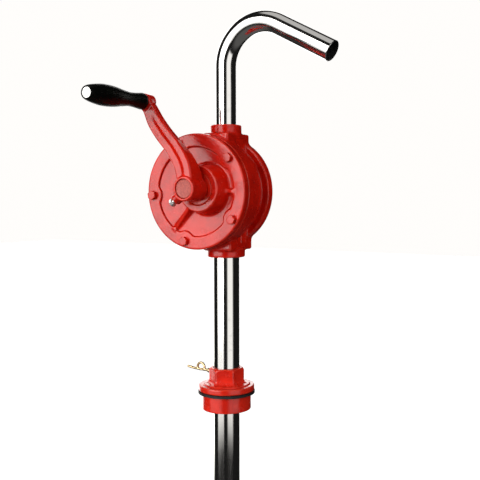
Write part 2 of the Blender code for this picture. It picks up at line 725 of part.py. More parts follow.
def build():
    clear_scene()
    red = material("red enamel", (0.55, 0.02, 0.01), 0.35)
    adapter_red = material("adapter enamel", (0.62, 0.035, 0.012), 0.4)
    chrome = material("bright tube", (0.75, 0.76, 0.76), 0.12, 1.0)
    steel = material("zinc-plated steel", (0.62, 0.62, 0.6), 0.3, 1.0)
    iron = material("machined iron", (0.3, 0.3, 0.31), 0.45, 1.0)
    bronze = material("bronze", (0.52, 0.33, 0.13), 0.35, 1.0)
    brass = material("pale brass", (0.7, 0.55, 0.3), 0.3, 1.0)
    black = material("black plastic", (0.008, 0.008, 0.009), 0.18)
    rubber = material("black rubber", (0.015, 0.015, 0.015), 0.7)
    paper = material("gasket sheet", (0.12, 0.1, 0.08), 0.8)
    graphite = material("packing cord", (0.06, 0.06, 0.06), 0.7)
    blade = material("vane composite", (0.1, 0.06, 0.03), 0.5)

    shaft = (0, 0, SHAFT_Z)
    grip_axis = (HANDLE_X, GRIP_START, HANDLE_Z)
    disc = (DISC_X, 0, DISC_Z)

    place("pump_body", pump_body(), shaft, red)
    place("front_cover", front_cover(), disc, red)
    place("cover_gasket", cover_gasket(), disc, paper)
    for number, (x, z) in enumerate(bolt_centres(), 1):
        place(f"cover_bolt_{number}", cover_bolt(x, z), (x, COVER_FRONT, z), red)

    place("rotor_shaft", rotor_shaft(), shaft, iron)
    place("vane_upper", vane(1), shaft, blade)
    place("vane_lower", vane(-1), shaft, blade)
    for name, y in zip(("vane_spring_front", "vane_spring_rear"), SPRING_Y):
        place(name, vane_spring(y), (0, y, SHAFT_Z), steel)
    bush_start = PACKING_BACK + 0.6
    bush = ring(SHAFT_R + GAP, BUSH_R, (0, bush_start, SHAFT_Z), (0, 1, 0),
                COVER_BACK - DISC_THICK - 0.8 - bush_start)
    place("shaft_bush", bush, shaft, bronze)
    packing = ring(SHAFT_R + GAP, PACKING_R, (0, GLAND_BACK + GAP, SHAFT_Z), (0, 1, 0),
                   PACKING_BACK - GLAND_BACK - GAP)
    place("shaft_packing", packing, shaft, graphite)
    gland = ring(SHAFT_R + GAP, GLAND_R, (0, GLAND_FRONT, SHAFT_Z), (0, 1, 0), GLAND_BACK - GLAND_FRONT)
    place("gland_nut", gland, shaft, red)

    place("crank_arm", crank_arm(), shaft, red)
    place("crank_set_screw", crank_set_screw(), shaft, steel)
    place("handle_grip", handle_grip(), grip_axis, black)
    place("handle_spindle", handle_spindle(), grip_axis, steel)
    nut = hexagon_nut((HANDLE_X, ARM_BACK + 1.5, HANDLE_Z), (0, 1, 0), 11.0, 3.6, SPINDLE_R + GAP)
    place("spindle_nut", nut, grip_axis, steel)

    place("discharge_spout", discharge_spout(), (0, 0, TOP_COLLAR_Z), chrome)
    for index, name in enumerate(("upper", "middle", "lower")):
        place(f"suction_tube_{name}", suction_section(index), (0, 0, section_top(index)), chrome)
    for index, name in ((1, "upper"), (2, "lower")):
        place(f"tube_socket_{name}", tube_socket(index), (0, 0, section_top(index)), steel)

    place("bung_adapter", bung_adapter(), (0, 0, 0), adapter_red)
    gasket_foot = (0, 0, -GAP - GASKET_THICK)
    gasket = ring(SPIGOT_R + GAP, ADAPTER_FLANGE_R + 0.6, gasket_foot, (0, 0, 1), GASKET_THICK, 48)
    place("bung_gasket", gasket, (0, 0, 0), rubber)
    place("clamp_screw", clamp_screw(), (0, 0, CLAMP_Z), brass)


build()
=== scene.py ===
"""Looks for the drum barrel pump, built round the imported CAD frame.

Each casting's surface is the zero level of a smooth distance field, so that its pieces run into each
other with the fillets of a sand casting. Tubes, the grip and small turned pieces are lathe meshes.
Lengths are millimetres in the row frame until mesh_piece() turns them into metres.
"""

import math

import bmesh
import bpy
import numpy as np
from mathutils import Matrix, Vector


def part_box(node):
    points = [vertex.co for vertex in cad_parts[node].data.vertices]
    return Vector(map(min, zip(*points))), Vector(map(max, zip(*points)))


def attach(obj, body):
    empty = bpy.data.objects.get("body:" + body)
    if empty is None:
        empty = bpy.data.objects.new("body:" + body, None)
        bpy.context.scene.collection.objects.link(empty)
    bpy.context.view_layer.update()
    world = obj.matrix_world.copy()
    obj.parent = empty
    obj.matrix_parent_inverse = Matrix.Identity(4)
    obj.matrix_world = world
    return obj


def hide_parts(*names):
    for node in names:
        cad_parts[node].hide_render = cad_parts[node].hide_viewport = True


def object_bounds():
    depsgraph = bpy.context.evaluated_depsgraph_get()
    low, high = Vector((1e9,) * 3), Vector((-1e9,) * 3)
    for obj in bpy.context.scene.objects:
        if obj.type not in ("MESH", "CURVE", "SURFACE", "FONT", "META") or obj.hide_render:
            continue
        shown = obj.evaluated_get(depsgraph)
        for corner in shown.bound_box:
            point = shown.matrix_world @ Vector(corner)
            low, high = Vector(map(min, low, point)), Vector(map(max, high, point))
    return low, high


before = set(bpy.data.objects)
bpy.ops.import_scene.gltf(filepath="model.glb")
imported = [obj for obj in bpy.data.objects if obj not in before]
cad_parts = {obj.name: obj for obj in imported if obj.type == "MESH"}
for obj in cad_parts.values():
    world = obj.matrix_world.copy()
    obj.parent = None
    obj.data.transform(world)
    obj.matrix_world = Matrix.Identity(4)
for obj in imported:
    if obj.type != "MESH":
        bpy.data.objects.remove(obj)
CAD_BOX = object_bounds()

MM = 0.001
GAP = 0.3
# How far a cutting shape runs on past the surface it opens
PAST = 9.0
X, Y, Z = 0, 1, 2
UNIT = np.eye(3, dtype=int)


def node_box(name):
    """The lowest and highest corner of a CAD node, in millimetres."""
    low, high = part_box(name)
    return np.array(low) / MM, np.array(high) / MM


# ---------------------------------------------------------------- sizes read from the frame

cover_low, cover_high = node_box("front_cover")
body_low, body_high = node_box("pump_body")
shaft_low, shaft_high = node_box("rotor_shaft")
arm_low, arm_high = node_box("crank_arm")
grip_low, grip_high = node_box("handle_grip")
gland_low, gland_high = node_box("gland_nut")
adapter_low, adapter_high = node_box("bung_adapter")

FLANGE_R = (cover_high[X] - cover_low[X]) / 2
DISC_X = (cover_high[X] + cover_low[X]) / 2
DISC_Z = (cover_high[Z] + cover_low[Z]) / 2
BOSS_FACE = cover_low[Y]
COVER_BACK = cover_high[Y]
COVER_RIM = 8.9
COVER_FRONT = COVER_BACK - COVER_RIM
SHAFT_Z = (gland_high[Z] + gland_low[Z]) / 2
GLAND_R = (gland_high[Z] - gland_low[Z]) / 2
ROTOR_R = (shaft_high[Z] - shaft_low[Z]) / 2
HANDLE_X = (grip_high[X] + grip_low[X]) / 2
HANDLE_Z = (grip_high[Z] + grip_low[Z]) / 2

# Cover casting
PANEL_R = 52.7
PANEL_DEPTH = 2.5
BOLT_CIRCLE_R = 60.3
BOLT_COUNT = 5
BOLT_PHASE_DEG = 40.0
BOLT_R, BOLT_AF, BOLT_HEAD = 3.0, 10.0, 4.5
BOLT_TURN_DEG = 17.0
PAD_R = 12.2
BOSS_BASE_R = 30.2
BOSS_FACE_R = 26.5
RIB_ANGLES_DEG = (0.0, 120.0, 236.5)
RIB_CREST, RIB_FOOT = COVER_FRONT - 9.0, COVER_FRONT + 0.4
RIB_HALF_WIDTH, RIB_DRAFT = 2.2, 0.09
GLAND_SEAT, GLAND_CHAMFER = 4.3, 1.2
PACKING_BORE_R, PACKING_SEAT_Y = 15.8, -46.7
BUSH_BORE_R = 14.3
ROTOR_CLEARANCE = 0.4
ROTOR_SEAT = 3.3

# Body casting
BODY_FRONT = body_low[Y]
BODY_BACK = 27.0
FLANGE_BACK = -9.5
REAR_DISC_FRONT = 15.2
CHAMBER_BACK = 13.0
CHAMBER_R = 52.3
REAR_R = 66.5
WAIST_R = 57.3
REAR_BOSS_R = 20.0
REAR_RELIEF = 2.0
TOP_BLOCK = (-16.0, 18.2, -26.0, 25.0)
LOW_BLOCK = (-18.2, 20.2, -23.0, 28.0)
BLOCK_BOTTOM, BLOCK_TOP = 171.5, 311.2
BLOCK_RIB_Y = (-9.5, 1.5, 12.0)
BLOCK_RIB_HALF, BLOCK_RIB_LOW, BLOCK_RIB_HIGH = 0.9, 7.5, 22.0
BLOCK_EDGE = 2.6
TOP_COLLAR_R, LOW_COLLAR_R = 18.8, 23.0
PORT_R = 10.0
SOCKET_DEPTH = 24.4

# Crank
HUB_R = 13.9
HUB_FRONT, HUB_BACK = arm_low[Y], arm_high[Y]
ARM_FRONT, ARM_BACK = HUB_FRONT + 1.9, HUB_FRONT + 12.9
ARM_PATH = (
    (0.0, 0.0), (-3.2, 24.0), (-15.0, 44.5), (-30.4, 61.6), (-41.0, 75.5), (-47.7, 88.0), (-54.4, 99.0),
)
ARM_HALF_WIDTHS = (10.5, 10.6, 10.2, 10.0, 9.6, 8.4, 7.4)
ARM_ROOT_BACK = -63.5
ARM_ROOT_FROM, ARM_ROOT_TO = 0.08, 0.34
ARM_TAPER = 1.5
ARM_BOSS_R, ARM_BOSS_REAR = 9.2, 1.2
# The hollow down the arm's front: its slopes across the arm, and its middle and depth along it
HOLLOW_DEPTH = 1.5
HOLLOW_SLOPE = (-0.32, 0.26)
HOLLOW_FAR_SLOPE = (0.2, 0.95)
HOLLOW_MIDDLE = ((0.1, 0.8), (0.02, -0.12))
HOLLOW_SHARE = ((0.05, 0.2, 0.6, 0.78), (0.4, 0.9, 1.0, 0.0))
SHAFT_R = 10.7
SLOT_HALF_WIDTH = 3.3
SPINDLE_R, SPINDLE_HEAD_R, SPINDLE_HEAD = 4.0, 6.0, 2.6
GRIP_BORE_R, GRIP_RECESS_R, GRIP_RECESS = SPINDLE_R + 0.4, 6.3, 3.5
GRIP_STEP, GRIP_SMOOTH = 0.4, 0.25
NUT_AF = 11.0
SCREW_TURN = math.radians(215.6)
SCREW_TOWARD = np.array([math.cos(SCREW_TURN), 0, math.sin(SCREW_TURN)])
SCREW_CENTRE = np.array([0, -79.5, SHAFT_Z])
SCREW_R, SCREW_AF, SCREW_HEAD = 3.0, 8.4, 4.5
SCREW_BOSS_R, SCREW_BOSS_REACH = 6.4, 21.6
SCREW_SEAT_REACH = 24.8
SCREW_HOLE_LENGTH = 40.0

# Tubes and adapter
SUCTION_R, SUCTION_WALL = 15.9, 1.8
SPOUT_R, SPOUT_WALL = 12.5, 1.5
BEND_RADIUS, BEND_START_Z, BEND_DEG, BEND_STEPS = 48.7, 390.5, 118.0, 40
NOSE_LENGTH = 76.5
HEX_AF, HEX_PHASE_DEG = 38.0, 23.7
HEX_TOP, HEX_CROWN = adapter_high[Z], 19.3
FLANGE_TOP, STEP_R, STEP_RISE = 7.2, 28.5, 1.6
ADAPTER_FLANGE_R, SPIGOT_R, ADAPTER_CLEARANCE = adapter_high[X], 29.8, 0.35
SOCKET_RINGS, GROOVE_TOP, GROOVE_FLOOR, GROOVE_DEPTH = 6, 1.0, 0.5, 0.6
TUBE_LIP, SPOUT_TRIM = 0.35, 0.2

# Clamp screw: a shank in the adapter, then wire twisted into an eye and a short tail
CLAMP_TURN = math.radians(HEX_PHASE_DEG + 150.0)
CLAMP_TOWARD = np.array([math.cos(CLAMP_TURN), math.sin(CLAMP_TURN), 0])
CLAMP_CENTRE = np.array([0, 0, 20.0])
CLAMP_R, CLAMP_TIP, CLAMP_HEAD = 3.0, SUCTION_R + 0.8, 29.0
EYE_WIRE_R, TAIL_WIRE_R = 1.5, 1.6
WIRE_FROM, EYE_FROM = 27, 33
EYE_CENTRE, EYE_RISE, EYE_R = 40.5, 2.4, 5.6
EYE_START_DEG, EYE_SWING_DEG, EYE_STEPS = 205, 230, 16
TAIL = ((42, -0.4), (53, 0.0), (62, 1.0))

# The surface net: its margin in cells, and how it is evened out and pulled back
NET_MARGIN = 2.2
NET_BATCHES = 24
NET_ROUNDS, NET_PULLS = 3, 2
NET_EVENING = 0.35
NET_PROBE = 0.04
NET_MOVE = 0.5
FLATTEST = 0.2
NOWHERE = 1e9
SLOPE_45 = 0.707
TURNED_STEPS, CORNER_STEPS = 96, 4
NEARLY_STRAIGHT = 1.5
SHARP_DEG = 50


# ---------------------------------------------------------------- distance fields

def rounded(across, along, edge):
    """Distance to a corner made by two faces, with that edge radius."""
    a, b = across + edge, along + edge
    return np.minimum(np.maximum(a, b), 0) + np.hypot(np.maximum(a, 0), np.maximum(b, 0)) - edge


def melt(a, b, size):
    """Two shapes joined with a fillet."""
    near = np.maximum(size - np.abs(a - b), 0)
    return np.minimum(a, b) - near * near / (4 * size)


def carve(a, b, size):
    """Shape a without shape b, with a softened edge."""
    return -melt(-a, b, size)


def drum(p, axis, centre, radius, start, end, edge=1.0):
    """A round boss or disc along Y or Z; its radius may change along the way."""
    i, j = [k for k in range(3) if k != axis]
    reach = np.hypot(p[:, i] - centre[0], p[:, j] - centre[1]) - radius
    along = np.abs(p[:, axis] - (start + end) / 2) - abs(end - start) / 2
    return rounded(reach, along, edge)


def bar(p, start, heading, radius, length):
    """A round bar from a point, along a heading."""
    offset = p - np.array(start)
    along = offset @ np.array(heading)
    across = np.sqrt(np.maximum((offset ** 2).sum(1) - along ** 2, 0)) - radius
    return rounded(across, np.abs(along - length / 2) - length / 2, 0.5)


def brick(p, low, high, edge):
    """A box between two corners, with rounded edges."""
    low, high = np.array(low), np.array(high)
    q = np.abs(p - (low + high) / 2) - (high - low) / 2 + edge
    return np.minimum(q.max(1), 0) + np.linalg.norm(np.maximum(q, 0), axis=1) - edge


def level_surface(field, low, high, cell):
    """Points and quads of the surface where field is zero, by surface nets, pulled onto the surface."""
    axes = [np.arange(a - NET_MARGIN * cell, b + NET_MARGIN * cell, cell) for a, b in zip(low, high)]
    size = tuple(len(a) for a in axes)
    grid = np.stack(np.meshgrid(*axes, indexing="ij"), -1).reshape(-1, 3)
    values = np.concatenate([field(part) for part in np.array_split(grid, NET_BATCHES)]).reshape(size)
    inside = values < 0
    total, count = np.zeros(size + (3,)), np.zeros(size, int)
    crossed = []
    for d in range(3):
        near = tuple(slice(0, -1) if k == d else slice(None) for k in range(3))
        far = tuple(slice(1, None) if k == d else slice(None) for k in range(3))
        at = np.argwhere(inside[near] != inside[far])
        here, there = values[tuple(at.T)], values[tuple((at + UNIT[d]).T)]
        spot = at + np.outer(here / (here - there), UNIT[d])
        u, v = UNIT[(d + 1) % 3], UNIT[(d + 2) % 3]
        for a in (0, 1):
            for b in (0, 1):
                home = tuple((at - a * u - b * v).T)
                np.add.at(total, home, spot)
                np.add.at(count, home, 1)
        crossed.append((at, u, v, inside[tuple(at.T)]))
    used = count > 0
    index = np.full(size, -1)
    index[used] = np.arange(used.sum())
    points = total[used] / count[used][:, None] * cell + np.array([a[0] for a in axes])
    quads = []
    for at, u, v, outward in crossed:
        ring = [index[tuple((at - a * u - b * v).T)] for a, b in ((1, 1), (0, 1), (0, 0), (1, 0))]
        quad = np.stack(ring, 1)
        quad[~outward] = quad[~outward][:, ::-1]
        quads.append(quad)
    quads = np.concatenate(quads)
    for _ in range(NET_ROUNDS):
        points = settle(field, points, quads, cell)
    return points, quads


def settle(field, points, quads, cell):
    """One round of evening out the net and pulling it back onto the surface."""
    total, count = np.zeros_like(points), np.zeros(len(points))
    for a, b in ((0, 1), (1, 2), (2, 3), (3, 0)):
        np.add.at(total, quads[:, a], points[quads[:, b]])
        np.add.at(count, quads[:, a], 1)
    points = points + NET_EVENING * (total / count[:, None] - points)
    step = NET_PROBE * cell
    for _ in range(NET_PULLS):
        value = field(points)
        slope = np.stack([
            (field(points + step * UNIT[k]) - field(points - step * UNIT[k])) / (2 * step) for k in range(3)
        ], 1)
        steep = np.maximum((slope ** 2).sum(1), FLATTEST)
        move = slope * (value / steep)[:, None]
        points = points - np.clip(move, -NET_MOVE * cell, NET_MOVE * cell)
    return points


# ---------------------------------------------------------------- the castings' fields

def bolt_centres():
    """Each cover bolt's X and Z."""
    for k in range(BOLT_COUNT):
        heading = math.radians(BOLT_PHASE_DEG + 360 * k / BOLT_COUNT)
        yield DISC_X + BOLT_CIRCLE_R * math.cos(heading), DISC_Z + BOLT_CIRCLE_R * math.sin(heading)


def bolt_holes(p, shape, start, end):
    """The shape with its bolt holes cut between two depths."""
    for x, z in bolt_centres():
        shape = carve(shape, drum(p, Y, (x, z), BOLT_R + GAP, start, end, 0.2), 0.3)
    return shape


def rib_field(p, degrees):
    """A rib that falls from the bearing boss to the rim of the panel."""
    heading = math.radians(degrees)
    rim = PANEL_R + 1
    end = np.array([DISC_X + rim * math.cos(heading), DISC_Z + rim * math.sin(heading)])
    hub = np.array([0, SHAFT_Z])
    reach = np.linalg.norm(end - hub)
    along = (end - hub) / reach
    flat = p[:, (X, Z)] - hub
    s = flat @ along
    t = flat @ np.array([-along[1], along[0]])
    start = BOSS_FACE_R - 6
    crest = np.interp(s, [start, reach], [RIB_CREST, RIB_FOOT])
    width = RIB_HALF_WIDTH + RIB_DRAFT * (p[:, Y] - crest)
    wall = rounded(np.abs(t) - width, crest - p[:, Y], 1.3)
    return np.maximum(wall, np.maximum(start - s, s - reach))


def cover_field(p):
    """The cover: a rimmed disc with a recessed panel, the bearing boss, ribs, pads and bores."""
    shape = drum(p, Y, (DISC_X, DISC_Z), FLANGE_R, COVER_FRONT, COVER_BACK + 6, 1.7)
    shape = carve(shape, COVER_BACK - p[:, Y], 0.3)
    recess = np.hypot(p[:, X] - DISC_X, p[:, Z] - DISC_Z) - PANEL_R
    for x, z in bolt_centres():
        recess = carve(recess, np.hypot(p[:, X] - x, p[:, Z] - z) - PAD_R, 3.0)
    shape = carve(shape, rounded(recess, p[:, Y] - COVER_FRONT - PANEL_DEPTH, 0.9), 1.2)
    radius = np.interp(p[:, Y], [BOSS_FACE, COVER_FRONT + PANEL_DEPTH], [BOSS_FACE_R, BOSS_BASE_R])
    boss = drum(p, Y, (0, SHAFT_Z), radius, BOSS_FACE, COVER_BACK - 1, 1.3)
    shape = melt(shape, boss, 2.5)
    for degrees in RIB_ANGLES_DEG:
        shape = melt(shape, rib_field(p, degrees), 3.0)
    before, after = BOSS_FACE - PAST, COVER_BACK + PAST
    for radius, start, end, edge in (
        (GLAND_R + GAP, before, BOSS_FACE + GLAND_SEAT, 0.5),
        (PACKING_BORE_R, before, PACKING_SEAT_Y, 0.4),
        (BUSH_BORE_R, before, after, 0.4),
        (ROTOR_R + ROTOR_CLEARANCE, COVER_BACK - ROTOR_SEAT, after, 0.4),
    ):
        shape = carve(shape, drum(p, Y, (0, SHAFT_Z), radius, start, end, 0.3), edge)
    return bolt_holes(p, shape, COVER_FRONT - 6, COVER_BACK + 6)


def body_field(p):
    """The body: flange, waist, rear disc, the two port blocks and their collars, and the chamber."""
    disc = (DISC_X, DISC_Z)
    shape = drum(p, Y, disc, FLANGE_R, BODY_FRONT - 6, FLANGE_BACK, 1.5)
    rear = drum(p, Y, disc, REAR_R, REAR_DISC_FRONT, BODY_BACK, 2.2)
    panel = np.abs(np.hypot(p[:, X] - DISC_X, p[:, Z] - DISC_Z) - (PANEL_R + REAR_BOSS_R + 2) / 2)
    panel = rounded(panel - (PANEL_R - REAR_BOSS_R - 2) / 2, BODY_BACK - REAR_RELIEF - p[:, Y], 1.0)
    rear = carve(rear, panel, 1.0)
    rear = melt(rear, drum(p, Y, disc, REAR_BOSS_R, BODY_BACK - 6, BODY_BACK + 2, 1.2), 2.0)
    shape = melt(shape, drum(p, Y, disc, WAIST_R, BODY_FRONT + 4, BODY_BACK - 4, 1.0), 2.5)
    shape = melt(shape, rear, 2.5)
    left, right, front, back = TOP_BLOCK
    shape = melt(shape, brick(p, (left, front, DISC_Z), (right, back, BLOCK_TOP), BLOCK_EDGE), 4.0)
    left, right, front, back = LOW_BLOCK
    shape = melt(shape, brick(p, (left, front, BLOCK_BOTTOM), (right, back, DISC_Z), BLOCK_EDGE), 4.0)
    shape = melt(shape, drum(p, Z, (0, 0), TOP_COLLAR_R, BLOCK_TOP - 6, body_high[Z], 1.7), 2.0)
    shape = melt(shape, drum(p, Z, (0, 0), LOW_COLLAR_R, body_low[Z], BLOCK_BOTTOM + 3, 1.7), 2.0)
    for y in BLOCK_RIB_Y:
        low = (right - 2, y - BLOCK_RIB_HALF, BLOCK_BOTTOM + BLOCK_RIB_LOW)
        high = (right + 1, y + BLOCK_RIB_HALF, BLOCK_BOTTOM + BLOCK_RIB_HIGH)
        shape = melt(shape, brick(p, low, high, 0.5), 0.4)
    shape = carve(shape, p[:, Y] - BODY_FRONT, 0.3)
    bottom, top = body_low[Z], body_high[Z]
    shape = carve(shape, drum(p, Y, disc, CHAMBER_R, BODY_FRONT - PAST, CHAMBER_BACK, 0.5), 0.6)
    shape = carve(shape, drum(p, Z, (0, 0), PORT_R, bottom - PAST, top + PAST, 0.3), 0.4)
    low_socket = drum(p, Z, (0, 0), SUCTION_R + GAP, bottom - PAST, bottom + SOCKET_DEPTH, 0.3)
    top_socket = drum(p, Z, (0, 0), SPOUT_R + GAP, top - SOCKET_DEPTH, top + PAST, 0.3)
    shape = carve(carve(shape, low_socket, 0.5), top_socket, 0.5)
    return bolt_holes(p, shape, BODY_FRONT - 6, BODY_FRONT + 12)


def smooth_path(points, steps):
    """A Catmull-Rom curve through the points."""
    points = np.array(points, float)
    padded = np.vstack([2 * points[0] - points[1], points, 2 * points[-1] - points[-2]])
    curve = []
    for a, b, c, d in zip(padded, padded[1:], padded[2:], padded[3:]):
        for t in np.arange(steps) / steps:
            curve.append(0.5 * (2 * b + (c - a) * t + (2 * a - 5 * b + 4 * c - d) * t ** 2
                                + (3 * b - a - 3 * c + d) * t ** 3))
    return np.array(curve + [points[-1]])


arm_curve = smooth_path([(*point, width) for point, width in zip(ARM_PATH, ARM_HALF_WIDTHS)], 5)


def smooth_step(value, low, high):
    """0 below low, 1 above high, and an S-shaped rise between them."""
    t = np.clip((value - low) / (high - low), 0, 1)
    return t * t * (3 - 2 * t)


def arm_place(p):
    """For each point: its distance beyond the arm's edge, its place along (0 to 1) and across (-1 to 1)."""
    flat = p[:, (X, Z)] - np.array([0, SHAFT_Z])
    best = np.full(len(p), NOWHERE)
    share, across = np.zeros(len(p)), np.zeros(len(p))
    pieces = len(arm_curve) - 1
    for k in range(pieces):
        a, b = arm_curve[k], arm_curve[k + 1]
        run = (b - a)[:2]
        t = np.clip((flat - a[:2]) @ run / (run @ run), 0, 1)
        offset = flat - a[:2] - np.outer(t, run)
        width = a[2] + t * (b[2] - a[2])
        gap = np.hypot(offset[:, 0], offset[:, 1]) - width
        side = (run[0] * offset[:, 1] - run[1] * offset[:, 0]) / np.linalg.norm(run) / width
        closer = gap < best
        best = np.where(closer, gap, best)
        share = np.where(closer, (k + t) / pieces, share)
        across = np.where(closer, side, across)
    return best, share, across


def arm_field(p):
    """The crank arm: a curved bar with a hollow front, its hub, its handle boss and the set screw's boss."""
    gap, share, across = arm_place(p)
    middle = np.interp(share, *HOLLOW_MIDDLE)
    valley = smooth_step(across - middle, *HOLLOW_SLOPE) * (1 - 0.8 * smooth_step(across, *HOLLOW_FAR_SLOPE))
    depth = HOLLOW_DEPTH * np.interp(share, *HOLLOW_SHARE)
    front = ARM_FRONT + depth * valley
    back = np.interp(share, [ARM_ROOT_FROM, ARM_ROOT_TO], [ARM_ROOT_BACK, ARM_BACK]) - ARM_TAPER * share
    shape = rounded(gap, np.maximum(front - p[:, Y], p[:, Y] - back), 2.6)
    shape = melt(shape, drum(p, Y, (0, SHAFT_Z), HUB_R, HUB_FRONT, HUB_BACK, 1.5), 2.0)
    tip = drum(p, Y, (HANDLE_X, HANDLE_Z), ARM_BOSS_R, HUB_FRONT, ARM_BACK + ARM_BOSS_REAR, 2.0)
    shape = melt(shape, tip, 3.0)
    shape = melt(shape, bar(p, SCREW_CENTRE, SCREW_TOWARD, SCREW_BOSS_R, SCREW_BOSS_REACH), 3.0)
    bore = drum(p, Y, (0, SHAFT_Z), SHAFT_R + GAP, HUB_FRONT - PAST, HUB_BACK + PAST, 0.3)
    hole = drum(p, Y, (HANDLE_X, HANDLE_Z), SPINDLE_R + GAP, HUB_FRONT - PAST, ARM_BACK + PAST, 0.3)
    shape = carve(carve(shape, bore, 0.7), hole, 0.5)
    return carve(shape, bar(p, SCREW_CENTRE, SCREW_TOWARD, SCREW_R + GAP, SCREW_HOLE_LENGTH), 0.4)


def adapter_field(p):
    """The bung adapter: spigot, flange with a low step, a crowned hexagon, and its bore."""
    reach = np.hypot(p[:, X], p[:, Y])
    shape = drum(p, Z, (0, 0), SPIGOT_R, adapter_low[Z], 3.0, 1.2)
    shape = melt(shape, drum(p, Z, (0, 0), ADAPTER_FLANGE_R, 0, FLANGE_TOP, 1.4), 1.0)
    shape = melt(shape, drum(p, Z, (0, 0), STEP_R, 0, FLANGE_TOP + STEP_RISE, 1.0), 1.2)
    flats = np.full(len(p), -NOWHERE)
    for k in range(6):
        heading = math.radians(HEX_PHASE_DEG + 30 + 60 * k)
        flat = p[:, X] * math.cos(heading) + p[:, Y] * math.sin(heading) - HEX_AF / 2
        flats = -melt(-flats, -flat, 1.6)
    crown = (reach + p[:, Z] - HEX_TOP - HEX_CROWN) * SLOPE_45
    nut = rounded(-melt(-flats, -crown, 0.8), np.abs(p[:, Z] - HEX_TOP / 2) - HEX_TOP / 2, 0.7)
    shape = melt(shape, nut, 5.0)
    bore = drum(p, Z, (0, 0), SUCTION_R + ADAPTER_CLEARANCE, adapter_low[Z] - PAST, HEX_TOP + PAST, 0.3)
    shape = carve(shape, bore, 0.9)
    return carve(shape, bar(p, CLAMP_CENTRE, CLAMP_TOWARD, CLAMP_R + GAP, SCREW_HOLE_LENGTH), 0.6)


def hex_head_field(p, seat, axis, across_flats, height, shank_r, shank, dome, phase_deg):
    """A hexagon head with painted-over, rounded edges, and its shank."""
    axis = np.array(axis, float)
    side = np.cross(axis, (0.0, 0.0, 1.0))
    side /= np.linalg.norm(side)
    up = np.cross(side, axis)
    offset = p - np.array(seat)
    along, a, b = offset @ axis, offset @ side, offset @ up
    flats = np.full(len(p), -NOWHERE)
    for k in range(6):
        heading = math.radians(phase_deg + 60 * k)
        flat = a * math.cos(heading) + b * math.sin(heading) - across_flats / 2
        flats = -melt(-flats, -flat, 0.35)
    top = along - height + dome * (a * a + b * b) / across_flats ** 2
    head = rounded(flats, np.maximum(top, -along), 0.5)
    stem = rounded(np.hypot(a, b) - shank_r, np.abs(along + shank / 2 - 0.5) - shank / 2, 0.3)
    return melt(head, stem, 0.3)


# ---------------------------------------------------------------- meshes

def mesh_piece(name, points, faces, body, slot, nodes, finish):
    """Adds a piece, in metres, that rides on a body and stands for CAD nodes."""
    mesh = bpy.data.meshes.new(name)
    mesh.from_pydata((np.asarray(points) * MM).tolist(), [], [list(f) for f in faces])
    mesh.validate()
    mesh.materials.append(finish)
    mesh.shade_smooth()
    piece = bpy.data.objects.new(name, mesh)
    bpy.context.scene.collection.objects.link(piece)
    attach(piece, body)
    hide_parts(*nodes)
    return piece


def cast_piece(name, field, cell, body, slot, node, finish):
    """Adds a piece whose surface is where its field is zero, kept inside its CAD node's box."""
    low, high = node_box(node)
    points, quads = level_surface(field, low, high, cell)
    points = np.clip(points, low, high)
    return mesh_piece(name, points, quads, body, slot, [node], finish)


def frame_along(axis):
    """Two unit vectors square to an axis."""
    axis = Vector(axis).normalized()
    helper = Vector((0, 0, 1)) if abs(axis.z) < 0.9 else Vector((0, 1, 0))
    side = helper.cross(axis).normalized()
    return side, axis.cross(side)


def lathe(profile, centre, axis, steps):
    """Points and faces of a closed turned ring; the profile's loop is (radius, distance along)."""
    side, up = frame_along(axis)
    axis, centre = Vector(axis).normalized(), Vector(centre)
    points, faces = [], []
    count = len(profile)
    for k in range(steps):
        heading = 2 * math.pi * k / steps
        spoke = side * math.cos(heading) + up * math.sin(heading)
        points += [tuple(centre + axis * along + spoke * radius) for radius, along in profile]
        after = (k + 1) % steps
        for i in range(count):
            j = (i + 1) % count
            faces.append((k * count + i, k * count + j, after * count + j, after * count + i))
    return np.array(points), faces


def close_axis(points, faces):
    """Welds points that meet on the axis and drops the faces that vanish there."""
    keys, index = np.unique(np.round(points, 5), axis=0, return_inverse=True)
    kept = []
    for face in faces:
        corners = list(dict.fromkeys(index.reshape(-1)[list(face)].tolist()))
        if len(corners) > 2:
            kept.append(corners)
    return keys, kept


def outward(piece):
    """Turns a closed mesh's faces outwards."""
    work = bmesh.new()
    work.from_mesh(piece.data)
    bmesh.ops.recalc_face_normals(work, faces=work.faces)
    work.to_mesh(piece.data)
    work.free()
    return piece


def arc_corner(corner, before, after, radius):
    """The points that round one corner of a profile."""
    corner, before, after = (np.array(v, float) for v in (corner, before, after))
    a, b = before - corner, after - corner
    shorter = min(np.linalg.norm(a), np.linalg.norm(b))
    a, b = a / np.linalg.norm(a), b / np.linalg.norm(b)
    half = math.acos(np.clip(a @ b, -1, 1)) / 2
    if half > NEARLY_STRAIGHT:
        return [tuple(corner)]
    cut = min(radius / math.tan(half), 0.45 * shorter)
    start, end = corner + a * cut, corner + b * cut
    centre = corner + (a + b) / np.linalg.norm(a + b) * cut / math.cos(half)
    ring = []
    for k in range(CORNER_STEPS + 1):
        spot = start + (end - start) * k / CORNER_STEPS - centre
        ring.append(tuple(centre + spot / np.linalg.norm(spot) * np.linalg.norm(start - centre)))
    return ring


def rounded_profile(profile, radius):
    """A profile loop with its corners rounded, except those on the axis."""
    loop = []
    for k, corner in enumerate(profile):
        if corner[0] < 1e-6:
            loop.append(corner)
        else:
            loop += arc_corner(corner, profile[k - 1], profile[(k + 1) % len(profile)], radius)
    return loop


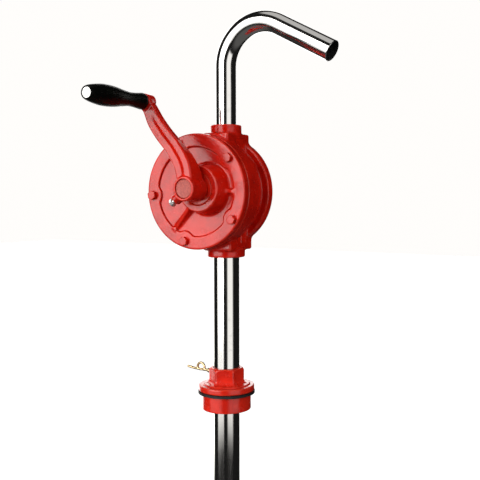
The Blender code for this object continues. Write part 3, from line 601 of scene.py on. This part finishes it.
def turned_piece(name, profile, centre, axis, body, slot, nodes, finish, edge):
    """Adds a lathe piece; edge is the radius on its profile's corners, or 0."""
    loop = rounded_profile(profile, edge) if edge else profile
    points, faces = lathe(loop, centre, axis, TURNED_STEPS)
    piece = mesh_piece(name, *close_axis(points, faces), body, slot, nodes, finish)
    outward(piece)
    piece.data.set_sharp_from_angle(angle=math.radians(SHARP_DEG))
    return piece


def tube_profile(inner, outer, start, end):
    return [(inner, start), (outer, start), (outer, end), (inner, end)]


# ---------------------------------------------------------------- materials

# Where the enamel stops on the shaft, along Y in metres
PAINT_EDGE = (-0.0845, -0.0835)


class Nodes:
    """Adds nodes to a tree and joins them."""

    def __init__(self, tree):
        self.tree = tree

    def node(self, kind, **settings):
        made = self.tree.nodes.new(kind)
        for label, value in settings.items():
            setattr(made, label, value)
        return made

    def link(self, source, target):
        self.tree.links.new(source, target)

    def spread(self, value, low, high, to_low=0.0, to_high=1.0):
        """A smooth step that takes low and high to two other values."""
        span = self.node("ShaderNodeMapRange", interpolation_type="SMOOTHSTEP")
        numbers = (("From Min", low), ("From Max", high), ("To Min", to_low), ("To Max", to_high))
        for label, number in numbers:
            span.inputs[label].default_value = number
        self.link(value, span.inputs["Value"])
        return span.outputs["Result"]

    def sums(self, operation, *values):
        """Arithmetic on sockets and numbers."""
        made = self.node("ShaderNodeMath", operation=operation)
        for socket, value in zip(made.inputs, values):
            if isinstance(value, (int, float)):
                socket.default_value = value
            else:
                self.link(value, socket)
        return made.outputs[0]


class Finish(Nodes):
    """A material whose colour, roughness and relief come from noise in the object's own space."""

    def __init__(self, name, **inputs):
        self.material = bpy.data.materials.new(name)
        self.material.use_nodes = True
        super().__init__(self.material.node_tree)
        self.shader = self.tree.nodes["Principled BSDF"]
        self.place = self.tree.nodes.new("ShaderNodeTexCoord").outputs["Object"]
        self.relief = None
        for label, value in inputs.items():
            self.shader.inputs[label.replace("_", " ")].default_value = value

    def noise(self, grain, detail=4.0, roughness=0.5, stretch=(1, 1, 1), seed=0.0):
        """Noise; its grain is in millimetres, and stretch is how much longer it runs on each axis."""
        mapping = self.node("ShaderNodeMapping")
        mapping.inputs["Scale"].default_value = [1 / s for s in stretch]
        mapping.inputs["Location"].default_value = (seed, seed * 1.7, seed * 2.3)
        self.link(self.place, mapping.inputs["Vector"])
        noise = self.node("ShaderNodeTexNoise")
        noise.inputs["Scale"].default_value = 1 / (grain * MM)
        noise.inputs["Detail"].default_value = detail
        noise.inputs["Roughness"].default_value = roughness
        self.link(mapping.outputs["Vector"], noise.inputs["Vector"])
        return noise.outputs["Fac"]

    def edges(self, low, high):
        """1 on the outside edges of the mesh, 0 on flat stretches."""
        geometry = self.node("ShaderNodeNewGeometry")
        return self.spread(geometry.outputs["Pointiness"], low, high)

    def creases(self, low, high):
        """1 in the inside corners of the mesh, 0 on flat stretches."""
        geometry = self.node("ShaderNodeNewGeometry")
        return self.spread(geometry.outputs["Pointiness"], low, high, 1.0, 0.0)

    def colour(self, under, over, mask):
        """Lays a colour over what is there where the mask is 1."""
        mix = self.node("ShaderNodeMix", data_type="RGBA")
        for socket, value in ((mix.inputs[6], under), (mix.inputs[7], over)):
            if isinstance(value, tuple):
                socket.default_value = (*value, 1)
            else:
                self.link(value, socket)
        self.link(mask, mix.inputs[0])
        self.link(mix.outputs[2], self.shader.inputs["Base Color"])
        return mix.outputs[2]

    def rough(self, mask, low, high):
        """Roughness between low and high, where the mask goes from 0 to 1."""
        self.link(self.spread(mask, 0.3, 0.7, low, high), self.shader.inputs["Roughness"])

    def bump(self, height, depth, strength):
        """Adds relief; the depth is in millimetres."""
        bump = self.node("ShaderNodeBump")
        bump.inputs["Distance"].default_value = depth * MM
        bump.inputs["Strength"].default_value = strength
        self.link(height, bump.inputs["Height"])
        if self.relief is not None:
            self.link(self.relief, bump.inputs["Normal"])
        self.relief = bump.outputs["Normal"]
        self.link(self.relief, self.shader.inputs["Normal"])


def enamel(name, deep, main, painted_edge_highlight, seed):
    """Glossy enamel brushed over a rough sand casting, with painted shade in its inside corners and a painted
    highlight along its outside edges.
    """
    finish = Finish(name, Coat_Weight=0.3, Coat_Roughness=0.06, Specular_IOR_Level=0.34)
    body = finish.colour(deep, main, finish.spread(finish.noise(26, 5, 0.6, seed=seed), 0.35, 0.62))
    speck = finish.spread(finish.noise(1.6, 3, 0.6, seed=seed + 3), 0.66, 0.74, 0.0, 0.5)
    body = finish.colour(body, deep, speck)
    # painted shade: the inside corners are darkened towards a dark copy of the deep red
    painted_crease_shade = tuple(0.35 * c for c in deep)
    body = finish.colour(body, painted_crease_shade, finish.sums("MULTIPLY", finish.creases(0.40, 0.485), 0.85))
    # painted highlight: the outside edges are lightened towards a paler, pinker red
    finish.colour(body, painted_edge_highlight, finish.sums("MULTIPLY", finish.edges(0.505, 0.56), 0.55))
    finish.rough(finish.noise(9, 4, 0.6, seed=seed + 1), 0.15, 0.29)
    finish.bump(finish.noise(7.0, 3, 0.55, seed=seed + 2), 0.32, 0.6)
    finish.bump(finish.noise(1.5, 4, 0.6, seed=seed + 4), 0.10, 0.6)
    finish.link(finish.relief, finish.shader.inputs["Coat Normal"])
    return finish.material


def plated_tube(name, colour, stretch, seed):
    """Drawn tube with a bright plating: faint draw lines and a few dull stains."""
    finish = Finish(name, Metallic=1.0)
    stain = finish.spread(finish.noise(14, 5, 0.65, seed=seed), 0.55, 0.75, 0.0, 0.6)
    finish.colour(colour, tuple(0.8 * c for c in colour), stain)
    finish.rough(finish.noise(6, 5, 0.7, stretch, seed), 0.08, 0.15)
    finish.bump(finish.noise(1.1, 3, 0.5, stretch, seed + 1), 0.006, 0.5)
    finish.bump(finish.noise(30, 2, 0.5, seed=seed + 2), 0.10, 0.5)
    return finish.material


def turned_metal(name, colour, dark, roughness, seed, grain=1.2):
    """Machined or plated metal with handling marks, a tone that varies at random, and lighter outside edges.
    """
    finish = Finish(name, Metallic=1.0)
    tone = finish.colour(dark, colour, finish.spread(finish.noise(5, 5, 0.6, seed=seed), 0.3, 0.6))
    finish.colour(tone, tuple(min(1.15 * c, 1) for c in colour), finish.edges(0.51, 0.6))
    finish.rough(finish.noise(3, 5, 0.65, seed=seed + 1), roughness, roughness + 0.2)
    finish.bump(finish.noise(grain, 4, 0.6, seed=seed + 2), 0.05, 0.5)
    return finish.material


def moulded(name, colour, worn, low, high, grain, depth, seed, gloss=0.4):
    """Plastic, rubber or fibre: a fine moulded grain, with paler rubbed patches."""
    finish = Finish(name, Specular_IOR_Level=gloss)
    finish.colour(colour, worn, finish.spread(finish.noise(11, 5, 0.65, seed=seed), 0.5, 0.8, 0.0, 0.8))
    finish.rough(finish.noise(8, 5, 0.6, seed=seed + 1), low, high)
    finish.bump(finish.noise(grain, 4, 0.6, seed=seed + 2), depth, 0.6)
    return finish.material


def gasket_finish():
    """Fibre sheet whose outer edge was sprayed red together with the castings."""
    finish = Finish("gasket_fibre_painted", Specular_IOR_Level=0.15)
    weave = finish.spread(finish.noise(0.6, 4), 0.4, 0.6)
    fibre = finish.colour((0.06, 0.03, 0.02), (0.12, 0.07, 0.05), weave)
    distance = finish.node("ShaderNodeVectorMath", operation="DISTANCE")
    flatten = finish.node("ShaderNodeVectorMath", operation="MULTIPLY")
    flatten.inputs[1].default_value = (1, 0, 1)
    finish.link(finish.place, flatten.inputs[0])
    finish.link(flatten.outputs[0], distance.inputs[0])
    distance.inputs[1].default_value = (DISC_X * MM, 0, DISC_Z * MM)
    edge = (FLANGE_R - 1.0) * MM
    sprayed = finish.spread(distance.outputs["Value"], edge, edge + 0.4 * MM)
    finish.colour(fibre, (0.36, 0.008, 0.004), sprayed)
    finish.rough(finish.noise(2, 4), 0.4, 0.8)
    finish.bump(finish.noise(0.8, 4), 0.1, 0.6)
    return finish.material


def shaft_finish():
    """Machined iron whose outer end was caught by the red enamel."""
    finish = Finish("shaft_iron")
    iron = finish.colour((0.2, 0.2, 0.21), (0.36, 0.36, 0.36), finish.noise(4, 5, 0.6))
    split = finish.node("ShaderNodeSeparateXYZ")
    finish.link(finish.place, split.inputs[0])
    painted = finish.spread(split.outputs["Y"], *PAINT_EDGE, 1.0, 0.0)
    mottle = finish.spread(finish.noise(2.2, 5, 0.7), 0.4, 0.6)
    paint = finish.colour((0.42, 0.055, 0.04), (0.56, 0.1, 0.075), mottle)
    finish.colour(iron, paint, painted)
    bare = finish.spread(split.outputs["Y"], *PAINT_EDGE, 0.0, 1.0)
    finish.link(bare, finish.shader.inputs["Metallic"])
    finish.rough(finish.noise(2, 5, 0.7, seed=2), 0.32, 0.6)
    finish.bump(finish.noise(2.4, 5, 0.7, seed=3), 0.35, 0.8)
    return finish.material


DEEP_RED = (0.52, 0.006, 0.001)
# Each enamel's third colour is its painted highlight along outside edges
RED = enamel("red_enamel_cast", DEEP_RED, (0.70, 0.009, 0.001), (0.78, 0.045, 0.020), 1.3)
BOLT_RED = enamel("red_enamel_bolts", DEEP_RED, (0.68, 0.010, 0.002), (0.76, 0.06, 0.025), 4.1)
ADAPTER_RED = enamel(
    "red_enamel_adapter", (0.60, 0.014, 0.006), (0.78, 0.024, 0.01), (0.80, 0.07, 0.03), 7.7)
CHROME = plated_tube("plated_suction_tube", (0.80, 0.79, 0.76), (1, 1, 30), 2.2)
SPOUT_CHROME = plated_tube("plated_spout", (0.80, 0.79, 0.77), (4, 4, 4), 5.2)
SPOUT_INSIDE = moulded(
    "spout_inside_dull", (0.012, 0.012, 0.012), (0.03, 0.028, 0.025), 0.5, 0.8, 2.0, 0.05, 6.6)
STEEL = turned_metal("zinc_plated_steel", (0.75, 0.75, 0.73), (0.5, 0.5, 0.5), 0.14, 3.1)
SATIN = turned_metal("satin_spindle_head", (0.86, 0.86, 0.84), (0.72, 0.72, 0.70), 0.42, 3.7, grain=3.0)
SPRING_STEEL = turned_metal("spring_wire", (0.5, 0.5, 0.52), (0.3, 0.3, 0.31), 0.25, 6.1, grain=0.4)
BRONZE = turned_metal("bush_bronze", (0.55, 0.35, 0.14), (0.35, 0.2, 0.08), 0.25, 8.3)
BRASS = turned_metal("wire_brass", (0.86, 0.66, 0.38), (0.6, 0.42, 0.22), 0.2, 9.3, grain=0.6)
IRON = shaft_finish()
BLACK = moulded(
    "handle_black", (0.002, 0.002, 0.0015), (0.004, 0.005, 0.003), 0.3, 0.42, 7.0, 0.02, 1.1, 0.12)
RUBBER = moulded("seal_rubber", (0.012, 0.012, 0.012), (0.035, 0.033, 0.03), 0.5, 0.8, 0.8, 0.08, 2.9)
SHEET = gasket_finish()
CORD = moulded("packing_graphite", (0.03, 0.03, 0.03), (0.1, 0.1, 0.1), 0.55, 0.85, 0.7, 0.2, 4.9)
VANE = moulded("vane_fibre", (0.09, 0.045, 0.02), (0.16, 0.09, 0.04), 0.35, 0.6, 0.5, 0.05, 5.9)


# ---------------------------------------------------------------- the pump's pieces

# The grip's outline: the share of its length from the arm, and its radius
GRIP_OUTLINE = (
    (0.0, 8.8), (0.03, 9.4), (0.1, 8.7), (0.18, 8.0), (0.27, 7.9), (0.385, 9.1), (0.517, 10.8),
    (0.633, 11.6), (0.75, 11.5), (0.872, 10.1), (0.95, 8.6), (0.985, 7.6), (1.0, 6.8),
)
HANDLE_AXIS = (HANDLE_X, 0, HANDLE_Z)


def make_grip():
    start, end = grip_high[Y], grip_low[Y]
    outer = [(radius, start + share * (end - start)) for share, radius in smooth_path(GRIP_OUTLINE, 6)]
    start, tip_r, end = outer[0][1], outer[-1][0], outer[-1][1]
    outer[0] = (outer[0][0] - GRIP_STEP, start)
    outer[-1] = (tip_r, end + GRIP_SMOOTH)
    lip = [(tip_r - GRIP_SMOOTH, end + 0.02), (GRIP_RECESS_R + 0.2, end + 0.02), (GRIP_RECESS_R, end + 0.5)]
    seat = end + GRIP_RECESS
    inside = [(GRIP_RECESS_R, seat), (GRIP_BORE_R, seat), (GRIP_BORE_R, start)]
    turned_piece("grip_shell", outer + lip + inside, HANDLE_AXIS, (0, 1, 0),
                 "grip", "black_plastic", ["handle_grip"], BLACK, edge=0)


def make_spindle():
    low, high = node_box("handle_spindle")
    face, under, back = low[Y], low[Y] + SPINDLE_HEAD, high[Y]
    head = [(0, face), (SPINDLE_HEAD_R, face), (SPINDLE_HEAD_R, under), (SPINDLE_R, under)]
    turned_piece("grip_spindle", head + [(SPINDLE_R, back), (0, back)], HANDLE_AXIS, (0, 1, 0),
                 "crank", "zinc_steel", ["handle_spindle"], SATIN, edge=0.5)


def make_nut():
    low, high = node_box("spindle_nut")
    height = high[Y] - low[Y]

    def field(p):
        seat = (HANDLE_X, low[Y], HANDLE_Z)
        shape = hex_head_field(p, seat, (0, 1, 0), NUT_AF, height, 2.0, 1.0, 0.6, 0)
        bore = drum(p, Y, (HANDLE_X, HANDLE_Z), SPINDLE_R + GAP, low[Y] - PAST, high[Y] + PAST, 0.2)
        return carve(shape, bore, 0.4)

    cast_piece("spindle_lock_nut", field, 0.5, "crank", "zinc_steel", "spindle_nut", STEEL)


def make_bolts():
    for number, (x, z) in enumerate(bolt_centres(), 1):
        node = f"cover_bolt_{number}"
        low, high = node_box(node)

        def field(p, x=x, z=z, seat=COVER_FRONT - GAP, foot=high[Y], phase=BOLT_TURN_DEG * number):
            seat_at, shank = (x, seat, z), foot - seat
            return hex_head_field(p, seat_at, (0, -1, 0), BOLT_AF, BOLT_HEAD, BOLT_R, shank, 0.5, phase)

        cast_piece(f"cover_screw_{number}", field, 0.55, "pump", "red_enamel", node, BOLT_RED)


def make_set_screw():
    seat = SCREW_CENTRE + SCREW_TOWARD * SCREW_SEAT_REACH
    shank = SCREW_SEAT_REACH - SHAFT_R + 1.6

    def field(p):
        return hex_head_field(p, seat, SCREW_TOWARD, SCREW_AF, SCREW_HEAD, SCREW_R, shank, 1.4, 15)

    cast_piece("hub_set_screw", field, 0.4, "crank", "zinc_steel", "crank_set_screw", STEEL)


def rotor_field(p):
    """The shaft with a dished end, its slotted rotor, and the set screw's spot."""
    centre = (0, SHAFT_Z)
    back, disc_front = shaft_high[Y], COVER_BACK - 3.0
    dish = drum(p, Y, centre, SHAFT_R - 1.6, shaft_low[Y] - 5, shaft_low[Y] + 0.5, 0.4)
    shape = carve(drum(p, Y, centre, SHAFT_R, shaft_low[Y], back - 2, 0.8), dish, 0.6)
    shape = melt(shape, drum(p, Y, centre, ROTOR_R, disc_front, back, 0.6), 1.0)
    low = (-SLOT_HALF_WIDTH, COVER_BACK + 0.1, SHAFT_Z - ROTOR_R - PAST)
    high = (SLOT_HALF_WIDTH, back + PAST, SHAFT_Z + ROTOR_R + PAST)
    shape = carve(shape, brick(p, low, high, 0.2), 0.3)
    spot = SCREW_CENTRE + SCREW_TOWARD * (SHAFT_R - 2.0)
    return carve(shape, bar(p, spot, SCREW_TOWARD, SCREW_R + 0.4, PAST), 0.3)


def wire_field(p, path, radius):
    """Round wire along a path of points."""
    best = np.full(len(p), NOWHERE)
    for a, b in zip(path, path[1:]):
        run = b - a
        t = np.clip((p - a) @ run / (run @ run), 0, 1)
        best = np.minimum(best, np.linalg.norm(p - a - np.outer(t, run), axis=1))
    return best - radius


def make_clamp_screw():
    def spot(out, rise=0.0):
        return CLAMP_CENTRE + CLAMP_TOWARD * out + np.array([0, 0, 1.0]) * rise

    eye = [spot(WIRE_FROM), spot(EYE_FROM)]
    for k in range(EYE_STEPS + 1):
        swing = math.radians(EYE_START_DEG - EYE_SWING_DEG * k / EYE_STEPS)
        eye.append(spot(EYE_CENTRE + EYE_R * math.cos(swing), EYE_R * math.sin(swing) + EYE_RISE))
    tail = [spot(WIRE_FROM)] + [spot(out, rise) for out, rise in TAIL]

    def field(p):
        shank = bar(p, spot(CLAMP_TIP), CLAMP_TOWARD, CLAMP_R, CLAMP_HEAD - CLAMP_TIP)
        shape = melt(shank, wire_field(p, tail, TAIL_WIRE_R), 1.0)
        return melt(shape, wire_field(p, eye, EYE_WIRE_R), 0.8)

    cast_piece("tube_clamp_screw", field, 0.55, "clamp", "pale_brass", "clamp_screw", BRASS)


def pipe(path, outer, inner):
    """Points and faces of a bent tube wall with softened ends; the second half of the faces is its inside."""
    lip, steps = TUBE_LIP, TURNED_STEPS
    path = [Vector(p) for p in path]
    heading = (path[1] - path[0]).normalized()
    side, up = frame_along(heading)
    frames = []
    for k, spot in enumerate(path):
        ahead = (path[min(k + 1, len(path) - 1)] - path[max(k - 1, 0)]).normalized()
        turn = heading.rotation_difference(ahead)
        side.rotate(turn)
        up.rotate(turn)
        heading = ahead
        frames.append((spot, side.copy(), up.copy(), ahead))
    last = len(frames) - 1
    rings = [(0, outer - lip, 0.0), (0, outer, lip), (0, outer, 3 * lip)]
    rings += [(k, outer, 0.0) for k in range(1, last)]
    rings += [(last, outer, -3 * lip), (last, outer, -lip), (last, outer - lip, 0.0)]
    rings += [(last, inner + lip, 0.0), (last, inner, -lip), (last, inner, -3 * lip)]
    rings += [(k, inner, 0.0) for k in range(last - 1, 0, -1)]
    rings += [(0, inner, 3 * lip), (0, inner, lip), (0, inner + lip, 0.0)]
    points = []
    for k, radius, shift in rings:
        spot, a, b, ahead = frames[k]
        for i in range(steps):
            angle = 2 * math.pi * i / steps
            reach = a * radius * math.cos(angle) + b * radius * math.sin(angle)
            points.append(tuple(spot + ahead * shift + reach))
    faces = []
    for k in range(len(rings)):
        after = (k + 1) % len(rings)
        for i in range(steps):
            j = (i + 1) % steps
            faces.append((k * steps + i, k * steps + j, after * steps + j, after * steps + i))
    return points, faces


def make_spout():
    foot = body_high[Z] - SOCKET_DEPTH + 1.0
    path = [(0, 0, foot), (0, 0, (foot + BEND_START_Z) / 2)]
    for k in range(BEND_STEPS + 1):
        turn = math.radians(BEND_DEG * k / BEND_STEPS)
        path.append((BEND_RADIUS * (1 - math.cos(turn)), 0, BEND_START_Z + BEND_RADIUS * math.sin(turn)))
    turn = math.radians(BEND_DEG)
    end = Vector(path[-1])
    nose = Vector((math.sin(turn), 0, math.cos(turn)))
    path += [tuple(end + nose * NOSE_LENGTH / 2), tuple(end + nose * NOSE_LENGTH)]
    points, faces = pipe(path, SPOUT_R - SPOUT_TRIM, SPOUT_R - SPOUT_WALL)
    piece = mesh_piece(
        "spout_tube", points, faces, "pump", "bright_tube", ["discharge_spout"], SPOUT_CHROME)
    outward(piece)
    piece.data.materials.append(SPOUT_INSIDE)
    for face in piece.data.polygons:
        if face.index >= len(faces) // 2:
            face.material_index = 1


def make_tubes():
    for name in ("upper", "middle", "lower"):
        low, high = node_box(f"suction_tube_{name}")
        profile = tube_profile(SUCTION_R - SUCTION_WALL, SUCTION_R, low[Z], high[Z])
        turned_piece(f"suction_pipe_{name}", profile, (0, 0, 0), (0, 0, 1), "pump", "bright_tube",
                     [f"suction_tube_{name}"], CHROME, edge=0.4)
    for name in ("upper", "lower"):
        low, high = node_box(f"tube_socket_{name}")
        start, end, outer = low[Z], high[Z], high[X]
        floor = outer - GROOVE_DEPTH
        loop = [(SUCTION_R + GAP, start), (outer, start)]
        for ring in range(1, SOCKET_RINGS):
            level = start + (end - start) * ring / SOCKET_RINGS
            loop += [(outer, level - GROOVE_TOP), (floor, level - GROOVE_FLOOR)]
            loop += [(floor, level + GROOVE_FLOOR), (outer, level + GROOVE_TOP)]
        loop += [(outer, end), (SUCTION_R + GAP, end)]
        turned_piece(f"pipe_socket_{name}", loop, (0, 0, 0), (0, 0, 1), "pump", "zinc_steel",
                     [f"tube_socket_{name}"], STEEL, edge=0.3)


def make_gland():
    bore, flare = SHAFT_R + GAP, GLAND_CHAMFER
    front, back = gland_low[Y], gland_high[Y]
    loop = [(bore + flare, front), (GLAND_R, front), (GLAND_R, back), (bore, back), (bore, front + flare)]
    turned_piece("gland_ring", loop, (0, 0, SHAFT_Z), (0, 1, 0), "pump", "red_enamel",
                 ["gland_nut"], BOLT_RED, edge=0.5)


def finish_carried_nodes():
    """The CAD nodes that are shown as they are get their own materials."""
    finishes = {
        "cover_gasket": SHEET, "bung_gasket": RUBBER, "shaft_bush": BRONZE, "shaft_packing": CORD,
        "vane_upper": VANE, "vane_lower": VANE,
        "vane_spring_front": SPRING_STEEL, "vane_spring_rear": SPRING_STEEL,
    }
    for name, finish in finishes.items():
        for material_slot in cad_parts[name].material_slots:
            material_slot.material = finish


cell = 1.0
cast_piece("body_casting", body_field, 1.15 * cell, "pump", "red_enamel", "pump_body", RED)
cast_piece("cover_casting", cover_field, 0.95 * cell, "pump", "red_enamel", "front_cover", RED)
cast_piece("crank_casting", arm_field, 0.75 * cell, "crank", "red_enamel", "crank_arm", RED)
cast_piece("rotor_and_shaft", rotor_field, 1.1 * cell, "crank", "machined_iron", "rotor_shaft", IRON)
cast_piece("adapter_casting", adapter_field, 0.8 * cell, "adapter", "adapter_enamel", "bung_adapter",
           ADAPTER_RED)
make_bolts()
make_set_screw()
make_nut()
make_grip()
make_spindle()
make_clamp_screw()
make_spout()
make_tubes()
make_gland()
finish_carried_nodes()


# ---------------------------------------------------------------- floor, light and camera

FLOOR_HALF, FLOOR_DROP = 12.0, 0.0005


def make_floor():
    """A wide pale floor just under the suction pipe."""
    level = CAD_BOX[0][2] - FLOOR_DROP
    mesh = bpy.data.meshes.new("floor")
    corners = [(x * FLOOR_HALF, y * FLOOR_HALF, level) for x, y in ((-1, -1), (1, -1), (1, 1), (-1, 1))]
    mesh.from_pydata(corners, [], [(0, 1, 2, 3)])
    finish = Finish("pale_floor", Roughness=0.9, Emission_Strength=0.64, Emission_Color=(1, 1, 1, 1))
    finish.colour((0.72, 0.72, 0.71), (0.78, 0.78, 0.77), finish.noise(60, 4, 0.6))
    mesh.materials.append(finish.material)
    floor = bpy.data.objects.new("floor", mesh)
    bpy.context.scene.collection.objects.link(floor)
    floor.visible_glossy = False
    floor.visible_diffuse = False


# The studio's walls as azimuth and brightness: 0 is straight in front of the crank, positive towards the
# spout. Heights, and the ends of the soft steps between them, are degrees above the horizon.
FRONT_WALL = (
    (-180, 0.0), (-52, 0.0), (-40, 4.5), (2, 4.5), (8, 0.0), (36, 0.0),
    (47, 1.1), (84, 1.1), (95, 0.0), (180, 0.0),
)
BACK_WALL = ((-180, 0.0), (-164, 0.0), (-156, 2.4), (-112, 2.4), (-104, 0.0), (180, 0.0))
FRONT_LOW, FRONT_HIGH = (-24, -18), (34, 38)
BACK_HIGH = (28, 36)
FLOOR_GLARE = (-10, -5)
FLOOR_GLARE_LIMIT = 1.1
CEILING_FROM, CEILING = (62, 68), 0.55
AIR_GLOW, GROUND_GLOW, GROUND_FROM = 0.010, 0.10, (-50, -25)
BACKDROP, BACKDROP_COLOUR = 1.0, (1.0, 0.985, 0.965, 1)


def wall(sky, azimuth, stops):
    """Brightness round the horizon, from a list of (azimuth, brightness)."""
    ramp = sky.node("ShaderNodeValToRGB")
    elements = ramp.color_ramp.elements
    elements.remove(elements[1])
    brightest = max(value for _, value in stops)
    for k, (angle, value) in enumerate(stops):
        place = (angle + 180) / 360
        stop = elements[0] if k == 0 else elements.new(place)
        stop.position = place
        stop.color = (*[value / brightest] * 3, 1)
    sky.link(sky.sums("DIVIDE", sky.sums("ADD", azimuth, 180), 360), ramp.inputs["Fac"])
    return sky.sums("MULTIPLY", ramp.outputs["Color"], brightest)


def make_world():
    """A dark studio with bright walls and a ceiling, which the camera sees as a plain pale backdrop."""
    world = bpy.data.worlds.new("studio")
    bpy.context.scene.world = world
    world.use_nodes = True
    world.node_tree.nodes.clear()
    sky = Nodes(world.node_tree)
    split = sky.node("ShaderNodeSeparateXYZ")
    sky.link(sky.node("ShaderNodeTexCoord").outputs["Generated"], split.inputs[0])
    forward = sky.sums("MULTIPLY", split.outputs["Y"], -1.0)
    azimuth = sky.sums("MULTIPLY", sky.sums("ARCTAN2", split.outputs["X"], forward), 180 / math.pi)
    height = sky.sums("MULTIPLY", sky.sums("ARCSINE", split.outputs["Z"]), 180 / math.pi)

    low_edge = sky.spread(height, *FRONT_LOW)
    front_band = sky.sums("MULTIPLY", low_edge, sky.spread(height, *FRONT_HIGH, 1.0, 0.0))
    limit = sky.spread(height, *FLOOR_GLARE, FLOOR_GLARE_LIMIT, max(value for _, value in FRONT_WALL))
    front = sky.sums("MINIMUM", wall(sky, azimuth, FRONT_WALL), limit)
    front = sky.sums("MULTIPLY", front, front_band)
    back_band = sky.sums("MULTIPLY", low_edge, sky.spread(height, *BACK_HIGH, 1.0, 0.0))
    back = sky.sums("MULTIPLY", wall(sky, azimuth, BACK_WALL), back_band)
    ceiling = sky.spread(height, *CEILING_FROM, 0.0, CEILING)
    glow = sky.spread(height, *GROUND_FROM, GROUND_GLOW, AIR_GLOW)
    light = sky.sums("ADD", sky.sums("ADD", sky.sums("ADD", front, back), ceiling), glow)

    shown = sky.node("ShaderNodeMix", data_type="FLOAT")
    sky.link(sky.node("ShaderNodeLightPath").outputs["Is Camera Ray"], shown.inputs[0])
    sky.link(light, shown.inputs[2])
    shown.inputs[3].default_value = BACKDROP
    background = sky.node("ShaderNodeBackground")
    background.inputs["Color"].default_value = BACKDROP_COLOUR
    sky.link(shown.outputs[0], background.inputs["Strength"])
    sky.link(background.outputs[0], sky.node("ShaderNodeOutputWorld").inputs["Surface"])


CAMERA_PLACE = (0.49943, -0.80317, 0.24138)
CAMERA_AZIMUTH_DEG = 29.39
CAMERA_DROP_DEG = 3.51
CAMERA_LENS, SENSOR = 58.55, 36.0
CAMERA_SHIFT = -1 / 24

# Name, azimuth, elevation, spread of its disc in degrees, strength
LAMPS = (("key", -7, 24, 16, 0.2), ("fill", 105, 30, 70, 0.65))


def make_lamps():
    """Soft distant lamps; they light the pump but aren't mirrored in it."""
    for name, azimuth, height, spread, strength in LAMPS:
        light = bpy.data.lights.new(name, "SUN")
        light.energy, light.angle = strength, math.radians(spread)
        lamp = bpy.data.objects.new(name, light)
        lamp.rotation_euler = (math.radians(90 - height), 0, math.radians(azimuth))
        lamp.visible_glossy = False
        bpy.context.scene.collection.objects.link(lamp)


def make_camera():
    camera = bpy.data.cameras.new("camera")
    camera.lens, camera.sensor_width, camera.shift_x = CAMERA_LENS, SENSOR, CAMERA_SHIFT
    holder = bpy.data.objects.new("camera", camera)
    holder.location = CAMERA_PLACE
    holder.rotation_euler = (math.radians(90 - CAMERA_DROP_DEG), 0, math.radians(CAMERA_AZIMUTH_DEG))
    bpy.context.scene.collection.objects.link(holder)
    bpy.context.scene.camera = holder


make_floor()
make_world()
make_lamps()
make_camera()
bpy.context.scene.view_settings.view_transform = "Standard"
